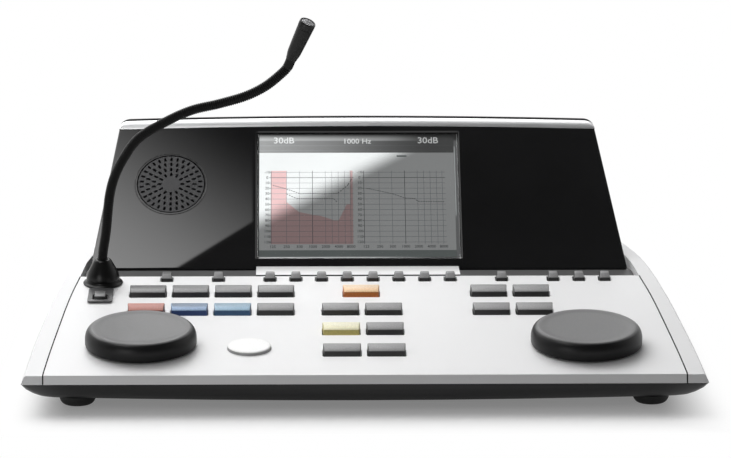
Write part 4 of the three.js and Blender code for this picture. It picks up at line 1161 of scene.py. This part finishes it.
class AUDIOMETER_OT_display(AudiometerOperator, Operator):
    """Make the lit picture with its two audiogram grids, and the pane in front"""
    bl_idname = "audiometer.display"
    bl_label = "Display"

    # Name of each flat area, its finish and its rectangles: left, right, top, bottom, layer
    areas = (
        ("picture_page", "page", (0, 1, 0.150, 0.935, 1)),
        ("picture_header", "header", (0, 1, 0, 0.150, 1)),
        ("picture_header_lines", "header_line", (0, 1, 0.090, 0.094, 2), (0, 1, 0.128, 0.131, 2)),
        ("picture_footer", "footer", (0, 1, 0.935, 1, 1), (0.706, 0.757, 0.172, 0.184, 2)),
        ("picture_edge", "edge", (0, 1, 0.988, 0.997, 2)),
        # The side strip and its line, beyond the picture's right edge, are painted light: the lit
        # side wall of the window and a highlight along it.
        ("picture_side", "side", (1.001, 1.017, 0.05, 1, 1)),
        ("picture_side_line", "side_line", (1.001, 1.006, 0.10, 0.66, 2)),
    )
    # The two grids: side, left end and right end, then their top, bottom and rows
    grids = (("left", 0.061, 0.483), ("right", 0.535, 0.953))
    grid_top, grid_bottom = 0.297, 0.886
    row_count, first_row, row_step = 14, 0.310, 0.0432
    layer_step, layer_thickness = 0.00004, 0.00003

    def execute(self, context):
        lid = settings().lid
        self.left = -0.0006 - lid.screen_width / 2
        self.low = 0.00325
        self.width, self.height = lid.screen_width, lid.screen_height
        self.base = 0.0065
        refined_node("picture_panel", "lcd_module", "frame", "lid")
        self.line_pane(refined_node(
            "pane", "display_window", "pane", "lid", 0.0002))
        self.make_areas()
        self.make_grids()
        self.make_curves()
        self.make_figures(context)
        return {"FINISHED"}

    def line_pane(self, pane):
        """Blackens the pane's left and upper rims, which would mirror the picture."""
        pane.data.materials.append(FINISHES["seam"])
        to_lid = lid_frame().inverted().to_3x3()
        for face in pane.data.polygons:
            facing = to_lid @ face.normal
            if facing.x < -0.7 or facing.y > 0.7:
                face.material_index = 1

    def place(self, across, down):
        """Lid coordinates of a point, given as shares of the picture from its upper left."""
        return self.left + across * self.width, self.low + (1 - down) * self.height

    def layer_base(self, layer):
        return self.base + layer * self.layer_step

    def area(self, bm, x0, x1, y0, y1, layer):
        ax, ay = self.place(x0, y1)
        bx, by = self.place(x1, y0)
        base = self.layer_base(layer)
        add_rectangle(bm, ax, bx, ay, by, base, base + self.layer_thickness)

    def polygon(self, bm, points, layer):
        face = add_polygon(bm, [self.place(x, y) for x, y in points], self.layer_base(layer))
        extrude_faces(bm, [face], (0, 0, self.layer_thickness))

    def line(self, bm, start, end, thickness, layer):
        ax, ay = self.place(*start)
        bx, by = self.place(*end)
        along = Vector((bx - ax, by - ay, 0))
        reach = along.length / 2
        verts = add_rectangle(
            bm, -reach, reach, -thickness / 2, thickness / 2, 0, self.layer_thickness)
        turn = Matrix.Rotation(Vector((1, 0)).angle_signed(along.xy) * -1, 3, "Z")
        bmesh.ops.rotate(bm, verts=verts, cent=(0, 0, 0), matrix=turn)
        middle = ((ax + bx) / 2, (ay + by) / 2, self.layer_base(layer))
        bmesh.ops.translate(bm, verts=verts, vec=middle)

    def keep(self, name, bm, finish):
        finish_piece(name, bm, lid_frame(), finish, "lid")

    def make_areas(self):
        for name, finish, *rectangles in self.areas:
            bm = bmesh.new()
            for rectangle in rectangles:
                self.area(bm, *rectangle)
            self.keep(name, bm, finish)

    def make_grids(self):
        bm = bmesh.new()
        self.area(bm, 0.061, 0.139, 0.297, 0.886, 2)
        self.area(bm, 0.464, 0.478, 0.297, 0.886, 2)
        self.polygon(bm, [
            (0.139, 0.886), (0.139, 0.549), (0.203, 0.630), (0.270, 0.652), (0.318, 0.663),
            (0.385, 0.699), (0.405, 0.696), (0.446, 0.571), (0.464, 0.566), (0.464, 0.886)], 2)
        self.keep("picture_fill", bm, "fill")
        thin, strong = 0.00022, 0.00034
        fine, axis = bmesh.new(), bmesh.new()
        heavy_line, light_line = (axis, strong), (fine, thin)
        for _, left, right in self.grids:
            columns = (0.0, 0.187, 0.343, 0.5, 0.657, 0.735, 0.813, 0.891, 0.961)
            for index, share in enumerate(columns):
                x = left + share * (right - left)
                bm, thickness = heavy_line if index in (0, 3) else light_line
                self.line(bm, (x, self.grid_top), (x, self.grid_bottom), thickness, 3)
            for row in range(self.row_count):
                y = self.row(row)
                bm, thickness = heavy_line if row == 1 else light_line
                self.line(bm, (left, y), (right, y), thickness, 3)
                self.line(axis, (left - 0.009, y), (left, y), strong, 3)
        self.keep("picture_grid", fine, "grid")
        self.keep("picture_axes", axis, "axis")

    def row(self, index):
        """Height of a line of the grid, as a share of the picture from its top."""
        return self.first_row + index * self.row_step

    def make_curves(self):
        """The dashed curves over the grids."""
        bm = bmesh.new()
        dash_pitch, dash_share, thickness = 0.012, 0.62, 0.00040
        runs = [
            [(0.070, 0.415), (0.139, 0.445), (0.210, 0.484), (0.270, 0.480), (0.330, 0.486),
             (0.400, 0.480), (0.450, 0.420), (0.478, 0.350)],
            [(0.139, 0.484), (0.190, 0.522), (0.270, 0.522), (0.380, 0.522), (0.400, 0.555)],
            [(0.548, 0.440), (0.615, 0.462), (0.680, 0.485), (0.745, 0.520), (0.790, 0.522),
             (0.812, 0.546), (0.950, 0.550)],
        ]
        for run in runs:
            for (x0, y0), (x1, y1) in zip(run, run[1:]):
                dashes = max(2, round(abs(x1 - x0) / dash_pitch))
                for dash in range(dashes):
                    start, end = ((x0 + share * (x1 - x0), y0 + share * (y1 - y0))
                                  for share in (dash / dashes, (dash + dash_share) / dashes))
                    self.line(bm, start, end, thickness, 4)
        self.keep("picture_curves", bm, "curve")

    def make_figures(self, context):
        heads = [("30dB", 0.126, 0.052, 0.0060), ("1000 Hz", 0.503, 0.058, 0.0049),
                 ("30dB", 0.868, 0.052, 0.0060)]
        small, pitch_down = 0.0025, 0.908
        pitches = ((0.02, "125"), (0.187, "250"), (0.343, "500"), (0.5, "1000"),
                   (0.657, "2000"), (0.813, "4000"), (0.961, "8000"))
        for index, (text, across, down, size) in enumerate(heads):
            self.figure(context, f"picture_value_{index + 1}", text, across, down, size, "digits")
        for side, left in (("left", 0.041), ("right", 0.513)):
            for row in range(self.row_count):
                self.figure(context, f"picture_level_{side}_{row + 1}", str(row * 10 - 10),
                            left, self.row(row), small, "axis")
        for side, left, right in self.grids:
            for share, text in pitches:
                self.figure(context, f"picture_pitch_{side}_{text}", text,
                            left + share * (right - left), pitch_down, small, "axis")

    def figure(self, context, name, text, across, down, size, finish):
        x, y = self.place(across, down)
        curve = bpy.data.curves.new(name, "FONT")
        curve.body = text
        curve.size = size
        curve.align_x, curve.align_y = "CENTER", "CENTER"
        curve.extrude = 0.00001
        curve.offset = 0.012 * size
        curve.resolution_u = 3
        made = bpy.data.objects.new(name, curve)
        context.scene.collection.objects.link(made)
        evaluated = made.evaluated_get(context.evaluated_depsgraph_get())
        mesh = bpy.data.meshes.new_from_object(evaluated)
        bpy.data.objects.remove(made)
        mesh.name = name
        mesh.transform(lid_frame() @ Matrix.Translation((x, y, self.base + 0.00019)))
        mesh.materials.clear()
        mesh.materials.append(FINISHES[finish])
        keep_piece(name, mesh, "lid")


class AUDIOMETER_OT_speaker(AudiometerOperator, Operator):
    """Make the speaker grille with its rings of slots"""
    bl_idname = "audiometer.speaker"
    bl_label = "Speaker grille"

    def execute(self, context):
        centre = (-0.1101, 0.05375)
        radius, thickness, top = 0.0194, 0.0014, 0.0089
        slot_length, slot_width = 0.0027, 0.0014
        rings = ((0.0067, 12), (0.0102, 18), (0.0138, 24), (0.0173, 30))
        bm = bmesh.new()
        add_loop(bm, [(radius * cos(angle), radius * sin(angle)) for angle in self.angles(96)])
        for distance, count in rings:
            for angle in self.angles(count):
                add_loop(bm, self.slot(distance, angle + pi / 2, slot_length, slot_width))
        bmesh.ops.triangle_fill(bm, edges=bm.edges, use_beauty=True, normal=(0, 0, 1))
        extrude_faces(bm, list(bm.faces), (0, 0, -thickness))
        bmesh.ops.translate(bm, verts=bm.verts, vec=(*centre, top))
        finish_piece(
            "grille", bm, lid_frame(), "grille", "lid", 30, ("speaker_grille",))
        rim = bmesh.new()
        add_turned(rim, [
            (0.02035, 0.0082), (0.02085, 0.0090), (0.02105, 0.00915), (0.0213, 0.00915),
            (0.0215, 0.0090), (0.0215, 0.0082), (0.02035, 0.0082)], 96, (*centre, 0))
        finish_piece("grille_rim", rim, lid_frame(), "gloss", "lid", 60)
        paint_node("speaker_driver", "driver")
        return {"FINISHED"}

    def angles(self, count):
        return [2 * pi * step / count for step in range(count)]

    def slot(self, distance, angle, length, width):
        """A short slot with round ends that points at the middle of the grille."""
        turn = Matrix.Rotation(angle, 2)
        reach = (length - width) / 2
        points = []
        arc_steps = 5
        for end in (1, -1):
            for step in range(arc_steps + 1):
                bend = (step / arc_steps - 0.5) * pi
                local = Vector((
                    distance + end * (reach + width / 2 * cos(bend)),
                    end * width / 2 * sin(bend)))
                points.append(turn @ local)
        return points


class AUDIOMETER_OT_microphone(AudiometerOperator, Operator):
    """Make the boot, the ribbed gooseneck and the microphone head"""
    bl_idname = "audiometer.microphone"
    bl_label = "Gooseneck microphone"

    # Points of the neck's bend, as shares of how far it reaches right, forward and up
    reach, forward, rise = 0.1073, 0.023, 0.1386
    route = (
        (0.000, 0.000, 0.000), (0.000, 0.000, 0.050), (0.000, 0.000, 0.115),
        (0.022, 0.110, 0.228), (0.048, 0.290, 0.396), (0.077, 0.388, 0.480),
        (0.128, 0.480, 0.563), (0.202, 0.573, 0.645), (0.334, 0.654, 0.715),
        (0.483, 0.721, 0.772), (0.627, 0.755, 0.801), (0.770, 0.799, 0.837),
        (0.866, 0.849, 0.878), (0.938, 0.909, 0.926), (0.978, 0.951, 0.960),
        (1.000, 1.000, 1.000),
    )

    def execute(self, context):
        microphone = settings().microphone
        self.make_boot()
        end, tangent = self.make_neck(microphone)
        self.make_head(end, tangent)
        return {"FINISHED"}

    def make_boot(self):
        bm = bmesh.new()
        add_turned(bm, [
            (0.0031, 0), (0.0111, 0), (0.01125, 0.0003), (0.0109, 0.0007), (0.0099, 0.0010),
            (0.00955, 0.0014), (0.00940, 0.0020), (0.00930, 0.00235), (0.00915, 0.0025),
            (0.00935, 0.0027), (0.00930, 0.0038), (0.00885, 0.0058), (0.0080, 0.0078),
            (0.0068, 0.0100), (0.0057, 0.0121), (0.0050, 0.0133), (0.0044, 0.0140),
            (0.0038, 0.0143), (0.0031, 0.0142), (0.0031, 0),
        ], 64)
        finish_piece("neck_boot", bm, microphone_frame(), "boot",
                     "microphone", 50, ("mic_boot",))

    def smooth_route(self, count):
        """Points and tangents at equal steps along a smooth curve through the route."""
        points = [Vector((right * self.reach, -front * self.forward, up * self.rise))
                  for right, front, up in self.route]
        ends = [2 * points[0] - points[1], *points, 2 * points[-1] - points[-2]]
        dense = []
        steps_between = 40
        for p0, p1, p2, p3 in zip(ends, ends[1:], ends[2:], ends[3:]):
            t1 = (p1 - p0).length ** 0.5
            t2 = t1 + (p2 - p1).length ** 0.5
            t3 = t2 + (p3 - p2).length ** 0.5
            for step in range(steps_between):
                t = t1 + (t2 - t1) * step / steps_between
                a1 = p0.lerp(p1, t / t1)
                a2 = p1.lerp(p2, (t - t1) / (t2 - t1))
                a3 = p2.lerp(p3, (t - t2) / (t3 - t2))
                b1 = a1.lerp(a2, t / t2)
                b2 = a2.lerp(a3, (t - t1) / (t3 - t1))
                dense.append(b1.lerp(b2, (t - t1) / (t2 - t1)))
        dense.append(points[-1])
        lengths = [0.0]
        for a, b in zip(dense, dense[1:]):
            lengths.append(lengths[-1] + (b - a).length)
        result = []
        index = 0
        for step in range(count + 1):
            target = lengths[-1] * step / count
            while index + 2 < len(lengths) and lengths[index + 1] < target:
                index += 1
            share = (target - lengths[index]) / (lengths[index + 1] - lengths[index])
            result.append(dense[index].lerp(dense[index + 1], share))
        return result, lengths[-1]

    def make_neck(self, microphone):
        """The wound tube along its bend, with a plain end at each side."""
        sections = 4
        count = microphone.ribs * sections
        centres, length = self.smooth_route(count)
        waves = (1.0, 0.95, 0.80, 0.95)
        plain_end = 0.0056
        plain = round(count * plain_end / length)
        bm = bmesh.new()
        ring = bmesh.ops.create_circle(
            bm, segments=microphone.neck_sides, radius=1.0, cap_ends=True)["verts"]
        edges = list(bm.edges)
        radius = microphone.neck_radius
        previous = Vector((0, 0, 1))
        current = 1.0
        origin = Vector((0, 0, 0))
        for step, centre in enumerate(centres):
            after = centres[min(step + 1, count)]
            before = centres[max(step - 1, 0)]
            tangent = (after - before).normalized()
            twist = previous.rotation_difference(tangent).to_matrix()
            wave = 1.0 if step < plain or step > count - plain else waves[step % sections]
            if step:
                extruded = bmesh.ops.extrude_edge_only(bm, edges=edges)
                ring = made_items(extruded, bmesh.types.BMVert)
                edges = made_items(extruded, bmesh.types.BMEdge)
            for vert in ring:
                offset = vert.co - origin
                vert.co = centre + twist @ offset * (radius * wave / current)
            current = radius * wave
            origin = centre
            previous = tangent
        bmesh.ops.contextual_create(bm, geom=edges)
        finish_piece("neck", bm, microphone_frame(), "neck",
                     "microphone", 60, ("gooseneck",))
        return centres[-1], previous

    def make_head(self, end, tangent):
        turn = Vector((0, 0, 1)).rotation_difference(tangent).to_matrix().to_4x4()
        place = microphone_frame() @ Matrix.Translation(end) @ turn
        bm = bmesh.new()
        add_turned(bm, [
            (0, -0.0004), (0.0030, -0.0004), (0.0031, 0.0002), (0.0033, 0.0014), (0.0036, 0.0028),
            (0.0038, 0.0042), (0.0039, 0.0060), (0.0041, 0.0100),
            (0.0043, 0.0150), (0.00445, 0.0180), (0.0045, 0.0200), (0.00435, 0.0202),
            (0.00435, 0.0206), (0.0046, 0.0208), (0.0046, 0.0236), (0.0045, 0.0240),
            (0.0042, 0.0243), (0.0039, 0.0242), (0.0038, 0.0237), (0, 0.0237),
        ], 48)
        finish_piece(
            "head", bm, place, "microphone", "microphone", 35, ("mic_head",))
        self.make_gauze(place)

    def make_gauze(self, place):
        """The woven disc at the tip, slightly domed, with a pit in each cell."""
        half_width, radius, cells_across = 0.0037, 0.0036, 14
        wire, pit, height, dome = 0.00011, 0.00012, 0.02395, 0.0006
        gauze = bmesh.new()
        bmesh.ops.create_grid(
            gauze, x_segments=cells_across, y_segments=cells_across, size=half_width)
        outside = [face for face in gauze.faces if face.calc_center_median().length > radius]
        bmesh.ops.delete(gauze, geom=outside, context="FACES")
        cells = list(gauze.faces)
        bmesh.ops.inset_individual(gauze, faces=cells, thickness=wire)
        corners = list({vert for face in cells for vert in face.verts})
        bmesh.ops.translate(gauze, verts=corners, vec=(0, 0, -pit))
        for vert in gauze.verts:
            vert.co.z += height + dome * (1 - (vert.co.xy.length / half_width) ** 2)
        finish_piece("head_gauze", gauze, place, "gauze", "microphone", 80)


class AUDIOMETER_OT_inner_parts(AudiometerOperator, Operator):
    """Finish the hinges and the circuit board that show through the gaps"""
    bl_idname = "audiometer.inner_parts"
    bl_label = "Hinges and board"

    def execute(self, context):
        for side in ("left", "right"):
            refined_node(f"friction_hinge_{side}", f"hinge_{side}", "steel",
                         "base", 0.0002)
        paint_node("main_board", "board")
        return {"FINISHED"}


class AUDIOMETER_PT_sidebar(Panel):
    bl_label = "Audiometer"
    bl_idname = "AUDIOMETER_PT_sidebar"
    bl_space_type = "VIEW_3D"
    bl_region_type = "UI"
    bl_category = "Audiometer"

    def draw(self, context):
        for operator in OPERATORS:
            self.layout.operator(operator.bl_idname)
        for group in (settings().console, settings().keys, settings().dials,
                      settings().lid, settings().microphone, settings().studio):
            box = self.layout.box()
            for name in group.__annotations__:
                box.prop(group, name)


GROUPS = (
    ConsoleSettings, KeySettings, DialSettings, LidSettings, MicrophoneSettings,
    StudioSettings, AudiometerSettings,
)
OPERATORS = (
    AUDIOMETER_OT_body, AUDIOMETER_OT_console, AUDIOMETER_OT_keys, AUDIOMETER_OT_dials,
    AUDIOMETER_OT_lid, AUDIOMETER_OT_display, AUDIOMETER_OT_speaker,
    AUDIOMETER_OT_microphone, AUDIOMETER_OT_inner_parts, AUDIOMETER_OT_studio,
)


def register():
    for group in GROUPS + OPERATORS + (AUDIOMETER_PT_sidebar,):
        bpy.utils.register_class(group)
    bpy.types.Scene.audiometer = PointerProperty(type=AudiometerSettings)


def unregister():
    del bpy.types.Scene.audiometer
    for group in reversed(GROUPS + OPERATORS + (AUDIOMETER_PT_sidebar,)):
        bpy.utils.unregister_class(group)


def clear_startup_objects():
    for name in ("Cube", "Light", "Camera"):
        left_over = bpy.data.objects.get(name)
        if left_over is not None:
            bpy.data.objects.remove(left_over)


def main():
    clear_startup_objects()
    register()
    make_finishes()
    bpy.ops.audiometer.body()
    bpy.ops.audiometer.console()
    bpy.ops.audiometer.keys()
    bpy.ops.audiometer.dials()
    bpy.ops.audiometer.lid()
    bpy.ops.audiometer.display()
    bpy.ops.audiometer.speaker()
    bpy.ops.audiometer.microphone()
    bpy.ops.audiometer.inner_parts()
    bpy.ops.audiometer.studio()


if __name__ == "__main__":
    main()
